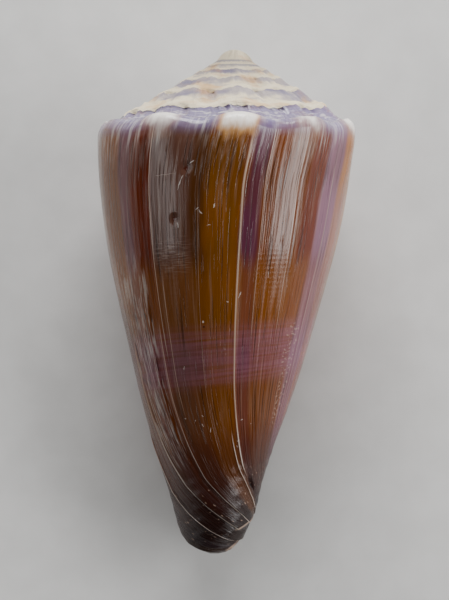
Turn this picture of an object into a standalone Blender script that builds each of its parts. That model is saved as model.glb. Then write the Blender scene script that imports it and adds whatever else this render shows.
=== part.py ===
"""A cone shell, one solid piece, lying on its aperture side with its back up.

The shell is a tube that grew round an axis while it got bigger. Every point is given by the stage of
growth in turns (0 at the lip, negative before it), and by its depth below the tip of the spire and its
radius from the axis as they are at full size. An older stage is the same outline, smaller and turned back.
"""

import math

import bmesh
import bpy
from mathutils import Euler, Matrix, Vector

MM = 0.001

# Growth: how much bigger the shell got over its last turn, and over each turn of the spire.
BODY_GROWTH = 1.26
SPIRE_GROWTH = 1.42
SPIRE_TURNS = 4.7
CHAMBER_TURNS = 0.8
LIP_AZIMUTH_DEG = 129.6

# Outline of the body whorl at the lip: depth below the tip and radius from the axis.
OUTLINE = [
    (6.4 * MM, 10.90 * MM),
    (7.3 * MM, 11.10 * MM),
    (9.5 * MM, 11.05 * MM),
    (13.0 * MM, 10.68 * MM),
    (17.0 * MM, 10.02 * MM),
    (21.0 * MM, 9.08 * MM),
    (25.0 * MM, 8.05 * MM),
    (29.0 * MM, 7.00 * MM),
    (33.0 * MM, 5.75 * MM),
    (36.5 * MM, 4.50 * MM),
    (39.5 * MM, 3.60 * MM),
    (42.5 * MM, 2.85 * MM),
    (44.7 * MM, 2.00 * MM),
]
# Growth lines: how many turns a line trails behind its straight middle, at each depth. The bend at the
# front end is less deep on old lines, which are hidden.
LINE_LAG = [
    (6.4 * MM, 0.015),
    (9.5 * MM, 0.006),
    (13.0 * MM, 0.0),
    (28.0 * MM, 0.0),
    (33.0 * MM, 0.018),
    (36.5 * MM, 0.055),
    (38.5 * MM, 0.105),
    (40.0 * MM, 0.155),
    (42.0 * MM, 0.240),
    (43.5 * MM, 0.325),
    (44.7 * MM, 0.450),
]
BEND_FROM = 28.0 * MM
BEND_FADES_FROM = -0.25
BEND_FADES_TO = -0.8
OLD_BEND = 0.25

CREST_DEPTH = OUTLINE[0][0]
SUTURE_DEPTH = 6.9 * MM
RAMP_SAG = 0.22 * MM
RAMP_LAG = 0.006
OLD_SHOULDER_DROP = 0.45 * MM
OLD_SHOULDER_FOLD = 12.0 * MM
RAMP_SHARES = (0.45, 0.82)
ROOF_SHARES = (0.45, 0.75)

# Nodules on the shoulder, and the share of their full height that each in turn has.
NODULE_HEIGHTS = (0.8, 0.95, 0.7, 0.9, 0.75, 0.95, 0.7, 1.0, 0.85, 0.35)
NODULES_PER_TURN = len(NODULE_HEIGHTS)
NODULE_PHASE = -5 / 60
NODULE_OUT = 0.42 * MM
NODULE_UP = 0.55 * MM
NODULE_FOLD_LENGTH = 4.2 * MM

# Ridges left where growth paused, as stages of growth, and the spiral cords at the front end.
RIDGE_TURNS = (-0.2, -16 / 60, -0.4, -0.55)
RIDGE_HEIGHT = 0.16 * MM
RIDGE_HALF_WIDTH_TURNS = 0.0028
CORD_SPACING = 1.1 * MM
CORD_COUNT = 7
CORD_HEIGHT = 0.10 * MM
CORDS_FROM = 36.4 * MM

WALL = 0.85 * MM
LIP_WALL = 0.5 * MM
LIP_THINS_OVER_TURNS = 0.12
LIP_EDGE_BULGE_TURNS = 0.0025
SLOPE_STEP = 0.2 * MM
ROOF_WALL = 0.85 * MM

# The worn tip: share of the first turn's radius and height of each ring of the dome, and its top.
TIP_RINGS = ((0.95, -0.62 * MM), (0.7, -0.18 * MM))
TIP_RISE = 0.05 * MM

COLUMELLA_TOP = 22.0 * MM
COLUMELLA_END = 39.4 * MM
COLUMELLA_RADIUS = 1.85 * MM
COLUMELLA_ROUND_LENGTH = 2.6 * MM
COLUMELLA_ROUND_DEG = (0, 30, 55, 75)
COLUMELLA_SIDES = 20

COLUMNS_PER_TURN = 60
OUTSIDE_DEPTHS = (
    [d * MM for d in (8.6, 10.5, 13.5, 17.0, 21.0, 25.0, 28.5, 31.5, 34.2)]
    + [CORDS_FROM + i * CORD_SPACING / 2 for i in range(2 * CORD_COUNT + 1)]
    + [OUTLINE[-1][0]]
)
INSIDE_DEPTHS = [d * MM for d in (8.6, 13.0, 19.0, 26.0, 33.0, 38.0, 41.0, 43.0, 44.7)]

# How the shell rests: turned about its own axis, then laid down with its tip this much raised.
REST_ROLL_DEG = 3.1
REST_PITCH_DEG = 11.1

SHARP_DEG = 50.0
SHELL_COLOUR = (0.24, 0.095, 0.03, 1.0)


def clear_scene():
    """Removes every object, so that only the shell is left."""
    for thing in list(bpy.data.objects):
        bpy.data.objects.remove(thing)


def smooth_curve(points, at):
    """Value at one place of a smooth curve through (place, value) points."""
    last = len(points) - 1
    at = min(max(at, points[0][0]), points[last][0])
    i = next(n for n in range(last) if at <= points[n + 1][0])

    def slope(n):
        a, b = points[max(n - 1, 0)], points[min(n + 1, last)]
        return (b[1] - a[1]) / (b[0] - a[0])

    (x0, y0), (x1, y1) = points[i], points[i + 1]
    span = x1 - x0
    t = (at - x0) / span
    rise = t * t * (3 - 2 * t)
    start = slope(i) * span * t * (1 - t) ** 2
    end = slope(i + 1) * span * t * t * (t - 1)
    return y0 + (y1 - y0) * rise + start + end


def ease(share):
    """Goes smoothly from 0 to 1 as share does."""
    share = min(max(share, 0.0), 1.0)
    return share * share * (3 - 2 * share)


def size_at(turn):
    """Size of the shell at a stage of growth, 1 at the lip."""
    body = max(turn, -1.0)
    spire = min(turn + 1.0, 0.0)
    return BODY_GROWTH**body * SPIRE_GROWTH**spire


def since_tip(turn):
    """Goes smoothly from 0 at the tip of the spire to 1 a turn later."""
    return ease(turn + 1.0 + SPIRE_TURNS)


def stage(turn, depth):
    """Stage of growth at which a point was made that lies on the growth line of this turn."""
    lag = since_tip(turn) * smooth_curve(LINE_LAG, depth)
    if depth > BEND_FROM:
        age = (turn - BEND_FADES_FROM) / (BEND_FADES_TO - BEND_FADES_FROM)
        lag *= 1 - (1 - OLD_BEND) * min(max(age, 0.0), 1.0)
    return turn - lag


def place(turn, radius, depth):
    """Point in the shell's own frame, whose tip is at the origin and whose axis points down."""
    angle = math.radians(LIP_AZIMUTH_DEG) - 2 * math.pi * turn
    return Vector((radius * math.cos(angle), radius * math.sin(angle), -depth))


def shoulder_drop(turn, depth):
    """How much lower the shoulder sits on the turns of the spire than on the last turn."""
    near = ease((OLD_SHOULDER_FOLD - depth) / (OLD_SHOULDER_FOLD - CREST_DEPTH))
    return OLD_SHOULDER_DROP * ease(-turn) * near


def nodule(turn):
    """Height of the row of nodules on the shoulder, from 0 between two of them to 1 on one."""
    phase = (turn - NODULE_PHASE) * NODULES_PER_TURN
    number = round(phase)
    height = since_tip(turn) * NODULE_HEIGHTS[number % NODULES_PER_TURN]
    return height * math.cos(math.pi * (phase - number)) ** 2


def ridge(turn):
    """Height of the growth ridges, 1 on a ridge."""
    nearest = min(abs(turn - at) for at in RIDGE_TURNS)
    return max(0.0, 1.0 - nearest / RIDGE_HALF_WIDTH_TURNS)


def cords(depth):
    """Height of the spiral cords at the front end, 1 on a cord."""
    along = (depth - CORDS_FROM) / CORD_SPACING
    return math.sin(math.pi * along) ** 2 if 0 < along < CORD_COUNT else 0.0


def side_point(turn, depth):
    """Point on the outside of the shell, from the crest of the shoulder down."""
    at = stage(turn, depth)
    size = size_at(at)
    below_crest = (depth - CREST_DEPTH) / NODULE_FOLD_LENGTH
    bump = nodule(turn) * math.exp(-below_crest * below_crest)
    relief = NODULE_OUT * bump + RIDGE_HEIGHT * ridge(turn) + CORD_HEIGHT * cords(depth)
    lift = NODULE_UP * nodule(turn) * math.exp(-((3 * below_crest) ** 2)) - shoulder_drop(turn, depth)
    return place(at, size * (smooth_curve(OUTLINE, depth) + relief), size * (depth - lift))


def ramp_point(turn, share):
    """Point on the ramp above the shoulder: share 0 at the seam with the turn before, 1 at the crest."""
    at = stage(turn, CREST_DEPTH) - RAMP_LAG * since_tip(turn) * math.sin(math.pi * share)
    before, size = size_at(turn - 1.0), size_at(turn)
    seam_radius = before * smooth_curve(OUTLINE, SUTURE_DEPTH)
    seam_depth = before * (SUTURE_DEPTH + shoulder_drop(turn - 1.0, SUTURE_DEPTH))
    crest_depth = size * (CREST_DEPTH + shoulder_drop(turn, CREST_DEPTH))
    radius = seam_radius + (size * OUTLINE[0][1] - seam_radius) * share
    depth = seam_depth + (crest_depth - seam_depth) * share
    sag = size * RAMP_SAG * math.sin(math.pi * share)
    lift = size * NODULE_UP * nodule(turn) * share**3
    return place(at, radius, depth + sag - lift)


def wall_point(turn, depth):
    """Point on the inside of the last turn's wall, which thins towards the lip."""
    at = stage(turn, depth)
    size = size_at(at)
    run = smooth_curve(OUTLINE, depth + SLOPE_STEP) - smooth_curve(OUTLINE, depth - SLOPE_STEP)
    across = Vector((2 * SLOPE_STEP, -run)).normalized()
    thick = LIP_WALL + (WALL - LIP_WALL) * ease(-turn / LIP_THINS_OVER_TURNS)
    radius = smooth_curve(OUTLINE, depth) - thick * across.x
    return place(at, size * radius, size * (depth + thick * across.y))


def roof_point(turn, share):
    """Point under the ramp, inside the chamber."""
    below = ROOF_WALL + NODULE_UP * nodule(turn) * share**3 - RAMP_SAG * math.sin(math.pi * share)
    return ramp_point(turn, share) - Vector((0, 0, size_at(turn) * below))


def stitch(bm, first, second):
    """Fills the strip between two rows of (share, vertex) that run side by side."""
    i = j = 0
    while i < len(first) - 1 or j < len(second) - 1:
        on_first = j == len(second) - 1 or (
            i < len(first) - 1 and first[i + 1][0] <= second[j + 1][0]
        )
        corner = first[i + 1] if on_first else second[j + 1]
        corners = [first[i][1], corner[1], second[j][1]]
        if len(set(corners)) == 3:
            bm.faces.new(corners)
        i, j = i + on_first, j + (not on_first)


def fan(bm, loop, centre):
    """Fills a closed loop of vertices with triangles to one point."""
    middle = bm.verts.new(centre)
    for a, b in zip(loop, loop[1:] + loop[:1]):
        bm.faces.new((a, b, middle))


def turns_of_columns():
    """Stages of growth at which the shell has a column of points, the same ones in every turn."""
    even = [-i / COLUMNS_PER_TURN for i in range(COLUMNS_PER_TURN)]
    beside = [at + side * RIDGE_HALF_WIDTH_TURNS for at in RIDGE_TURNS for side in (-1, 1)]
    one_turn = sorted(even + beside)
    whole = [-n + at for n in range(math.ceil(SPIRE_TURNS), -1, -1) for at in one_turn]
    return [at for at in whole if -1.0 - SPIRE_TURNS < at <= 0], len(one_turn)


def spire_band(bm, turn, seam):
    """Vertices of one column from its seam over the ramp and crest to the seam of the next turn."""
    points = [ramp_point(turn, share) for share in RAMP_SHARES]
    points += [side_point(turn, CREST_DEPTH), side_point(turn, SUTURE_DEPTH)]
    places = [*RAMP_SHARES, 1.0, SUTURE_DEPTH / CREST_DEPTH]
    first = seam or bm.verts.new(ramp_point(turn, 0.0))
    return [(0.0, first)] + [(at, bm.verts.new(p)) for at, p in zip(places, points)]


def side_column(bm, turn, depths, point):
    """Vertices of one column down the side, each with its share of the way."""
    return [(depth / CREST_DEPTH, bm.verts.new(point(turn, depth))) for depth in depths]


def chamber_column(bm, turn, landing):
    """Vertices of one column inside the last turn: from the landing, under the ramp and down the wall."""
    roof = [(share, bm.verts.new(roof_point(turn, share))) for share in ROOF_SHARES]
    wall = side_column(bm, turn, INSIDE_DEPTHS, wall_point)
    return [(0.0, landing)] + roof + wall


def close_tip(bm, bands, per_turn):
    """Closes the worn tip of the spire with a low dome, over the step where its first turn begins."""
    rings = [[bands[j][0][1] for j in range(per_turn + 1)]]
    for share, height in TIP_RINGS:
        places = [Vector((v.co.x * share, v.co.y * share, height)) for v in rings[0]]
        rings.append([bm.verts.new(at) for at in places])
    for lower, upper in zip(rings, rings[1:]):
        for i in range(per_turn):
            bm.faces.new((lower[i], lower[i + 1], upper[i + 1], upper[i]))
    step = [vertex for _, vertex in bands[0]]
    bm.faces.new([*step, rings[1][-1], rings[1][0]])
    bm.faces.new([rings[1][0], rings[1][-1], rings[2][-1], rings[2][0]])
    fan(bm, rings[-1], Vector((0, 0, TIP_RISE)))


def build_shell_mesh():
    """Makes the closed surface of the shell with its open chamber, and returns it as a mesh."""
    bm = bmesh.new()
    turns, per_turn = turns_of_columns()
    lip = len(turns) - 1
    body = lip - per_turn
    deep = lip - round(CHAMBER_TURNS * per_turn)

    bands = []
    for j, turn in enumerate(turns):
        bands.append(spire_band(bm, turn, bands[j - per_turn][-1][1] if j >= per_turn else None))
    outside = {j: side_column(bm, turns[j], OUTSIDE_DEPTHS, side_point) for j in range(body, lip + 1)}
    inside = {
        j: side_column(bm, turns[j], INSIDE_DEPTHS, side_point) for j in range(deep - per_turn, body)
    }
    inside[body] = outside[body]
    chamber = {
        j: chamber_column(bm, turns[j], inside[j - per_turn][0][1]) for j in range(deep, lip + 1)
    }

    for j in range(lip):
        older, younger = bands[j], bands[j + 1]
        if j >= body:
            older, younger = older + outside[j], younger + outside[j + 1]
        stitch(bm, older, younger)
    for j in range(deep - per_turn, body):
        stitch(bm, inside[j], inside[j + 1])
    for j in range(deep, lip):
        stitch(bm, chamber[j], chamber[j + 1])

    lip_outside = bands[lip] + outside[lip]
    edge = lip_edge(bm, lip_outside, chamber[lip])
    stitch(bm, lip_outside, edge)
    stitch(bm, edge, chamber[lip])
    stitch(bm, chamber[deep], [(0.0, inside[deep - per_turn][0][1])] + inside[deep - per_turn][1:])

    outer_end = [(j, outside[j][-1][1]) for j in range(deep, lip + 1)]
    inner_end = [(j, chamber[j][-1][1]) for j in range(deep, lip + 1)]
    stitch(bm, outer_end, [*inner_end[:-1], (lip - 0.5, inner_end[-1][1]), (lip, edge[-1][1])])
    axis_loop = [inside[j][-1][1] for j in range(deep - per_turn, body)]
    axis_loop += [outside[j][-1][1] for j in range(body, deep + 1)]
    axis_loop.append(chamber[deep][-1][1])
    heights = [vertex.co.z for vertex in axis_loop]
    fan(bm, axis_loop, Vector((0, 0, sum(heights) / len(heights))))
    close_tip(bm, bands, per_turn)

    bmesh.ops.recalc_face_normals(bm, faces=bm.faces)
    mesh = bpy.data.meshes.new("shell")
    bm.to_mesh(mesh)
    bm.free()
    return mesh


def lip_edge(bm, outside, inside):
    """A row of vertices midway across the lip's edge, a little forward of it, which rounds it."""
    turned = Matrix.Rotation(-2 * math.pi * LIP_EDGE_BULGE_TURNS, 3, "Z")
    shares = [share for share, _ in inside]
    row = [(0.0, inside[0][1])]
    for share, vertex in outside[1:]:
        i = min(range(len(shares)), key=lambda n: abs(shares[n] - share))
        row.append((share, bm.verts.new(turned @ ((vertex.co + inside[i][1].co) / 2))))
    return row


def columella():
    """The pillar round the axis, which the inner end of the wall winds round."""
    bm = bmesh.new()
    outline = [(COLUMELLA_TOP, COLUMELLA_RADIUS)]
    for angle in map(math.radians, COLUMELLA_ROUND_DEG):
        depth = COLUMELLA_END - COLUMELLA_ROUND_LENGTH * (1 - math.sin(angle))
        outline.append((depth, COLUMELLA_RADIUS * math.cos(angle)))
    sides = [2 * math.pi * i / COLUMELLA_SIDES for i in range(COLUMELLA_SIDES)]
    rings = []
    for depth, radius in outline:
        rings.append([bm.verts.new((radius * math.cos(a), radius * math.sin(a), -depth)) for a in sides])
    for upper, lower in zip(rings, rings[1:]):
        for i in range(COLUMELLA_SIDES):
            after = (i + 1) % COLUMELLA_SIDES
            bm.faces.new((upper[i], upper[after], lower[after], lower[i]))
    bm.faces.new(rings[0])
    bm.faces.new(rings[-1])
    bmesh.ops.recalc_face_normals(bm, faces=bm.faces)
    mesh = bpy.data.meshes.new("columella")
    bm.to_mesh(mesh)
    bm.free()
    return mesh


def shell_material():
    """Worn, glossy shell: the brown of the middle of the body whorl."""
    material = bpy.data.materials.new("shell")
    material.use_nodes = True
    surface = material.node_tree.nodes["Principled BSDF"]
    surface.inputs["Base Color"].default_value = SHELL_COLOUR
    surface.inputs["Roughness"].default_value = 0.35
    surface.inputs["Metallic"].default_value = 0.0
    material.diffuse_color = SHELL_COLOUR
    return material


def lay_down(shapes):
    """Turns the shapes together onto their rest, with the middle of their box over the origin."""
    turn = Euler((math.radians(REST_PITCH_DEG - 90), 0, math.radians(REST_ROLL_DEG)), "ZXY")
    points = [turn.to_matrix() @ vertex.co for shape in shapes for vertex in shape.data.vertices]
    low, high = (Vector([pick(p[i] for p in points) for i in range(3)]) for pick in (min, max))
    for shape in shapes:
        shape.rotation_mode = "ZXY"
        shape.rotation_euler = turn
        shape.location = (-(low.x + high.x) / 2, -(low.y + high.y) / 2, -low.z)


def main():
    """Builds the shell with its pillar and lays it on its aperture side."""
    clear_scene()
    shell = bpy.data.objects.new("shell", build_shell_mesh())
    pillar = bpy.data.objects.new("columella_shape", columella())
    for shape in (shell, pillar):
        bpy.context.scene.collection.objects.link(shape)
    lay_down((shell, pillar))
    pillar.hide_render = True
    pillar.display_type = "WIRE"
    join = shell.modifiers.new("columella", "BOOLEAN")
    join.operation = "UNION"
    join.use_self = True
    join.object = pillar
    shell.data.shade_smooth()
    shell.data.set_sharp_from_angle(angle=math.radians(SHARP_DEG))
    shell.data.materials.append(shell_material())


main()
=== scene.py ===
"""Looks of a worn cone shell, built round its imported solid.

The shell is a tube that grew round an axis while it got bigger. Every point of its skin is given by the
stage of growth in turns (0 at the lip, negative before it) and by its depth below the tip of the spire at
full size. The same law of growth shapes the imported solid, so the skin lies on it, with finer relief.
"""

import logging
import math
from dataclasses import dataclass, field
from enum import Enum, IntEnum
from typing import Any

import bmesh
import bpy
import numpy as np
from mathutils import Euler, Matrix, Vector, noise


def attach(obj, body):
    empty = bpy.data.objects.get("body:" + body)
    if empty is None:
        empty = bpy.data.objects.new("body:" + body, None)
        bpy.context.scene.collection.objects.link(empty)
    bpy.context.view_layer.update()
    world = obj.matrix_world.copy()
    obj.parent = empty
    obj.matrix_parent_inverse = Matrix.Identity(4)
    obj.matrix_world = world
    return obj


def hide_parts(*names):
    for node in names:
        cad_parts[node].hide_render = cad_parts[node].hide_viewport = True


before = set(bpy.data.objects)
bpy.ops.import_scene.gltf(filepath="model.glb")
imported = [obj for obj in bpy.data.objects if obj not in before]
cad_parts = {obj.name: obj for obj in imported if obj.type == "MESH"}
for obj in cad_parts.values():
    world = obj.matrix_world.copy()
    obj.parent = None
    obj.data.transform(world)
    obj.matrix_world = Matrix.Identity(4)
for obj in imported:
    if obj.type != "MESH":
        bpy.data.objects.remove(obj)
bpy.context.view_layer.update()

MM = 0.001
# One turn of the body unrolled at the shoulder, in mm, which places growth lines on the skin.
TURN_LENGTH = 62.0
LOG = logging.getLogger("cone_shell")

Array = np.ndarray
Rgba = tuple[float, float, float, float]
Row = list[tuple[float, int]]
Socket = bpy.types.NodeSocket


def linear(hex_code: str) -> Rgba:
    """Turns an sRGB hex colour into Blender's linear colour.

    Args:
        hex_code: Six hex digits, red first.

    Returns:
        Linear red, green and blue with alpha 1.
    """
    parts = [int(hex_code[i : i + 2], 16) / 255 for i in (0, 2, 4)]
    low = [c / 12.92 if c <= 0.04045 else ((c + 0.055) / 1.055) ** 2.4 for c in parts]
    return (low[0], low[1], low[2], 1.0)


def ease(share: Array | float) -> Array:
    """Goes smoothly from 0 to 1 as share does."""
    share = np.clip(share, 0.0, 1.0)
    return share * share * (3 - 2 * share)


def window(at: Array, low: float, high: float, soft: Array | float) -> Array:
    """Is 1 from low to high and falls smoothly to 0 over a distance outside them.

    Args:
        at: Places to ask about.
        low: Where the window begins.
        high: Where it ends.
        soft: Distance over which it fades on both sides.

    Returns:
        Values from 0 to 1.
    """
    return ease((at - low) / soft + 1) * ease((high - at) / soft + 1)


def lumps(points: Array, size: float, seed: float = 0.0) -> Array:
    """Smooth uneven relief.

    Args:
        points: Places, three numbers each.
        size: Usual size of one lump, in the points' unit.
        seed: Moves the pattern, so that two fields differ.

    Returns:
        Values from about -1 to 1, one for each place.
    """
    flat = points.reshape(-1, 3) / size + seed
    values = [noise.noise(Vector(p)) for p in flat]
    return np.array(values).reshape(points.shape[:-1])


class Shade(Enum):
    """Colours of the worn shell, as sRGB; some also serve as painted highlight and painted shadow."""

    TAN = "80461C"
    OLIVE_TAN = "744010"
    MAUVE = "66383F"
    RED_BROWN = "642208"
    UMBER = "4E2A0C"
    OLIVE_GOLD = "6A3E00"
    BURNT_ORANGE = "72400E"
    GLOW = "7A4406"
    DEEP_BROWN = "562609"
    WARM_BROWN = "6C3A10"
    PLUM = "57293A"
    GREY_MAUVE = "5C3C30"
    RUST = "6C3814"
    LILAC = "80586A"
    SANDY = "A8682E"
    DARK_PLUM = "240C0A"
    NIGHT_PLUM = "140605"
    CRACK_AND_SHADOW = "120504"
    HAZE = "80505C"
    CHIP = "4E1A08"
    CHALK_AND_HIGHLIGHT = "F2ECE4"
    CREAM = "F8E8C8"
    HONEY = "D9A050"
    ROSE_TAN = "A8846E"
    SLATE_VIOLET = "7A7396"
    PALE_LINE = "BFA592"
    PORCELAIN = "D9CCD2"
    THROAT = "8E6F8C"

    def rgba(self) -> Rgba:
        """Linear colour."""
        return linear(self.value)


class Surface(IntEnum):
    """Material slots of the shell, in order."""

    OUTSIDE = 0
    INSIDE = 1


@dataclass(frozen=True)
class Curve:
    """Smooth curve through (place, value) points."""

    points: tuple[tuple[float, float], ...]

    def at(self, place: Array | float) -> Array:
        """Value of the curve at some places.

        Args:
            place: Places, kept to the range of the points.

        Returns:
            One value for each place.
        """
        x, y = np.array(self.points, float).T
        slope = np.gradient(y, x)
        slope[1:-1] = (y[2:] - y[:-2]) / (x[2:] - x[:-2])
        place = np.clip(place, x[0], x[-1])
        i = np.clip(np.searchsorted(x, place) - 1, 0, len(x) - 2)
        span = x[i + 1] - x[i]
        t = (place - x[i]) / span
        rise = t * t * (3 - 2 * t)
        bend = slope[i] * t * (1 - t) ** 2 + slope[i + 1] * t * t * (t - 1)
        return y[i] + (y[i + 1] - y[i]) * rise + bend * span


@dataclass(frozen=True)
class GrowthLaw:
    """How the shell grew: its outline at the lip, its growth in each turn, and the lean of its lines.

    Depths and radii are in millimetres at full size.
    """

    body_growth: float = 1.26
    spire_growth: float = 1.42
    spire_turns: float = 4.7
    chamber_turns: float = 0.8
    lip_azimuth_deg: float = 129.6
    outline: Curve = Curve(
        (
            (6.4, 10.45),
            (6.8, 10.86),
            (7.4, 11.08),
            (9.5, 11.05),
            (13.0, 10.68),
            (17.0, 10.02),
            (21.0, 9.08),
            (25.0, 8.05),
            (29.0, 7.00),
            (33.0, 5.75),
            (36.5, 4.50),
            (39.5, 3.60),
            (42.5, 2.85),
            (44.7, 2.00),
        )
    )
    line_lag: Curve = Curve(
        (
            (6.4, 0.015),
            (9.5, 0.006),
            (13.0, 0.0),
            (28.0, 0.0),
            (33.0, 0.018),
            (36.5, 0.055),
            (38.5, 0.105),
            (40.0, 0.155),
            (42.0, 0.240),
            (43.5, 0.325),
            (44.7, 0.450),
        )
    )
    bend_from: float = 28.0
    bend_fades_from: float = -0.25
    bend_fades_to: float = -0.8
    old_bend: float = 0.25
    crest_depth: float = 6.4
    suture_depth: float = 6.9
    ramp_sag: float = 0.22
    ramp_lag: float = 0.006
    old_shoulder_drop: float = 0.45
    old_shoulder_fold: float = 12.0

    def size(self, turn: Array) -> Array:
        """Size of the shell at stages of growth, 1 at the lip."""
        body = self.body_growth ** np.maximum(turn, -1.0)
        return body * self.spire_growth ** np.minimum(turn + 1.0, 0.0)

    def since_tip(self, turn: Array) -> Array:
        """Goes smoothly from 0 at the tip of the spire to 1 a turn later."""
        return ease(turn + 1.0 + self.spire_turns)

    def stage(self, turn: Array, depth: Array) -> Array:
        """Stage of growth at which points were made that lie on given growth lines.

        Args:
            turn: Growth lines, as turns where they are straight.
            depth: Depths below the tip.

        Returns:
            Stages of growth.
        """
        lag = self.since_tip(turn) * self.line_lag.at(depth)
        age = (turn - self.bend_fades_from) / (self.bend_fades_to - self.bend_fades_from)
        faded = 1 - (1 - self.old_bend) * np.clip(age, 0.0, 1.0)
        return turn - lag * np.where(depth > self.bend_from, faded, 1.0)

    def shoulder_drop(self, turn: Array, depth: Array) -> Array:
        """How much lower the shoulder sits on older turns."""
        near = ease((self.old_shoulder_fold - depth) / (self.old_shoulder_fold - self.crest_depth))
        return self.old_shoulder_drop * ease(-turn) * near

    def place(self, stage: Array, radius: Array, depth: Array) -> Array:
        """Points in the shell's own frame, whose tip is at the origin and whose axis points down."""
        angle = math.radians(self.lip_azimuth_deg) - 2 * math.pi * stage
        return np.stack([radius * np.cos(angle), radius * np.sin(angle), -depth], -1)


@dataclass(frozen=True)
class GrowthLine:
    """A ridge left where growth paused.

    Args:
        turn: Growth line that it follows.
        height: Height in mm.
        start: Depth in mm where it begins.
        end: Depth in mm where it ends.
        colour_width: Width of its pale streak in mm.
        step: How far the older side stands above the younger one near the front end, in mm.
    """

    turn: float
    height: float
    start: float
    end: float
    colour_width: float
    step: float = 0.0


@dataclass(frozen=True)
class Pit:
    """A small chip in the surface, by its place in growth and depth, and its size in mm."""

    turn: float
    depth: float
    radius: float
    deep: float


GROWTH_LINES = (
    GrowthLine(-0.125, 0.10, 33.0, 44.7, 0.20),
    GrowthLine(-0.203, 0.16, 26.0, 42.5, 0.26, 0.26),
    GrowthLine(-0.274, 0.14, 25.0, 42.5, 0.20, 0.12),
    GrowthLine(-0.281, 0.05, 8.0, 25.0, 0.12),
    GrowthLine(-0.292, 0.04, 21.0, 30.0, 0.09),
    GrowthLine(-0.348, 0.03, 14.0, 34.0, 0.04),
    GrowthLine(-0.404, 0.13, 9.0, 36.0, 0.28),
    GrowthLine(-0.389, 0.10, 35.0, 41.5, 0.18, 0.09),
    GrowthLine(-0.432, 0.05, 8.0, 24.0, 0.07),
    GrowthLine(-0.478, 0.05, 8.0, 24.0, 0.07),
    GrowthLine(-0.542, 0.08, 12.0, 33.0, 0.12),
)

PITS = (
    Pit(-0.330, 10.7, 0.30, 0.10),
    Pit(-0.316, 14.9, 0.28, 0.10),
    Pit(-0.411, 38.6, 0.50, 0.30),
    Pit(-0.745, 13.0, 0.40, 0.12),
    Pit(-0.905, 19.0, 0.45, 0.12),
    Pit(-0.060, 15.5, 0.35, 0.10),
)


@dataclass(frozen=True)
class Mark:
    """A scratch, crumb of chalk, speck or painted shadow, by its place, half its size in mm, its lean and
    its colour.
    """

    turn: float
    depth: float
    half_width: float
    half_height: float
    lean_deg: float
    shade: Shade


MARKS = (
    Mark(-0.330, 10.7, 0.30, 0.22, 30.0, Shade.CHIP),
    Mark(-0.336, 10.2, 0.30, 0.05, 35.0, Shade.CHALK_AND_HIGHLIGHT),
    Mark(-0.324, 11.9, 0.05, 0.85, -18.0, Shade.CHALK_AND_HIGHLIGHT),
    Mark(-0.303, 11.2, 1.15, 0.03, 6.0, Shade.PALE_LINE),
    Mark(-0.316, 14.9, 0.25, 0.24, 0.0, Shade.CHIP),
    Mark(-0.321, 15.4, 0.05, 0.30, 10.0, Shade.CHALK_AND_HIGHLIGHT),
    Mark(-0.351, 14.4, 0.05, 0.30, 35.0, Shade.CHALK_AND_HIGHLIGHT),
    Mark(-0.347, 14.1, 0.04, 0.20, -40.0, Shade.CHALK_AND_HIGHLIGHT),
    Mark(-0.369, 13.9, 0.06, 0.28, -15.0, Shade.CHALK_AND_HIGHLIGHT),
    Mark(-0.362, 15.5, 0.20, 0.04, 10.0, Shade.CHALK_AND_HIGHLIGHT),
    Mark(-0.352, 23.6, 0.13, 0.11, 0.0, Shade.CHALK_AND_HIGHLIGHT),
    # Painted shadow: a dark mark just below the chalk bead.
    Mark(-0.353, 24.0, 0.14, 0.08, 0.0, Shade.CRACK_AND_SHADOW),
    Mark(-0.391, 22.0, 0.13, 0.06, -30.0, Shade.CHALK_AND_HIGHLIGHT),
    Mark(-0.409, 21.5, 0.04, 0.40, -20.0, Shade.CHALK_AND_HIGHLIGHT),
    Mark(-0.311, 27.3, 0.05, 0.25, -25.0, Shade.CHALK_AND_HIGHLIGHT),
    Mark(-0.290, 31.5, 0.12, 0.06, 0.0, Shade.CHALK_AND_HIGHLIGHT),
    Mark(-0.312, 31.8, 0.10, 0.06, 20.0, Shade.CHALK_AND_HIGHLIGHT),
    Mark(-0.331, 31.5, 0.16, 0.06, -20.0, Shade.CHALK_AND_HIGHLIGHT),
    Mark(-0.326, 32.3, 0.04, 0.22, 30.0, Shade.CHALK_AND_HIGHLIGHT),
    Mark(-0.341, 32.8, 0.05, 0.32, -30.0, Shade.CHALK_AND_HIGHLIGHT),
    Mark(-0.417, 32.4, 0.24, 0.04, 10.0, Shade.CHALK_AND_HIGHLIGHT),
    Mark(-0.440, 32.9, 0.08, 0.05, 0.0, Shade.CHALK_AND_HIGHLIGHT),
    Mark(-0.403, 34.2, 0.24, 0.05, 15.0, Shade.CHALK_AND_HIGHLIGHT),
    Mark(-0.398, 34.7, 0.04, 0.18, 35.0, Shade.CHALK_AND_HIGHLIGHT),
    Mark(-0.404, 38.2, 0.10, 0.45, -25.0, Shade.CHALK_AND_HIGHLIGHT),
    Mark(-0.413, 38.8, 0.25, 0.30, 0.0, Shade.CRACK_AND_SHADOW),
    Mark(-0.461, 8.5, 0.08, 0.05, 0.0, Shade.CRACK_AND_SHADOW),
    Mark(-0.464, 9.9, 0.06, 0.07, 0.0, Shade.CRACK_AND_SHADOW),
    Mark(-0.445, 10.7, 0.08, 0.07, 0.0, Shade.CRACK_AND_SHADOW),
    Mark(-0.462, 15.5, 0.05, 0.06, 0.0, Shade.CRACK_AND_SHADOW),
    Mark(-0.452, 12.2, 0.025, 1.1, 5.0, Shade.CRACK_AND_SHADOW),
)


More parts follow.
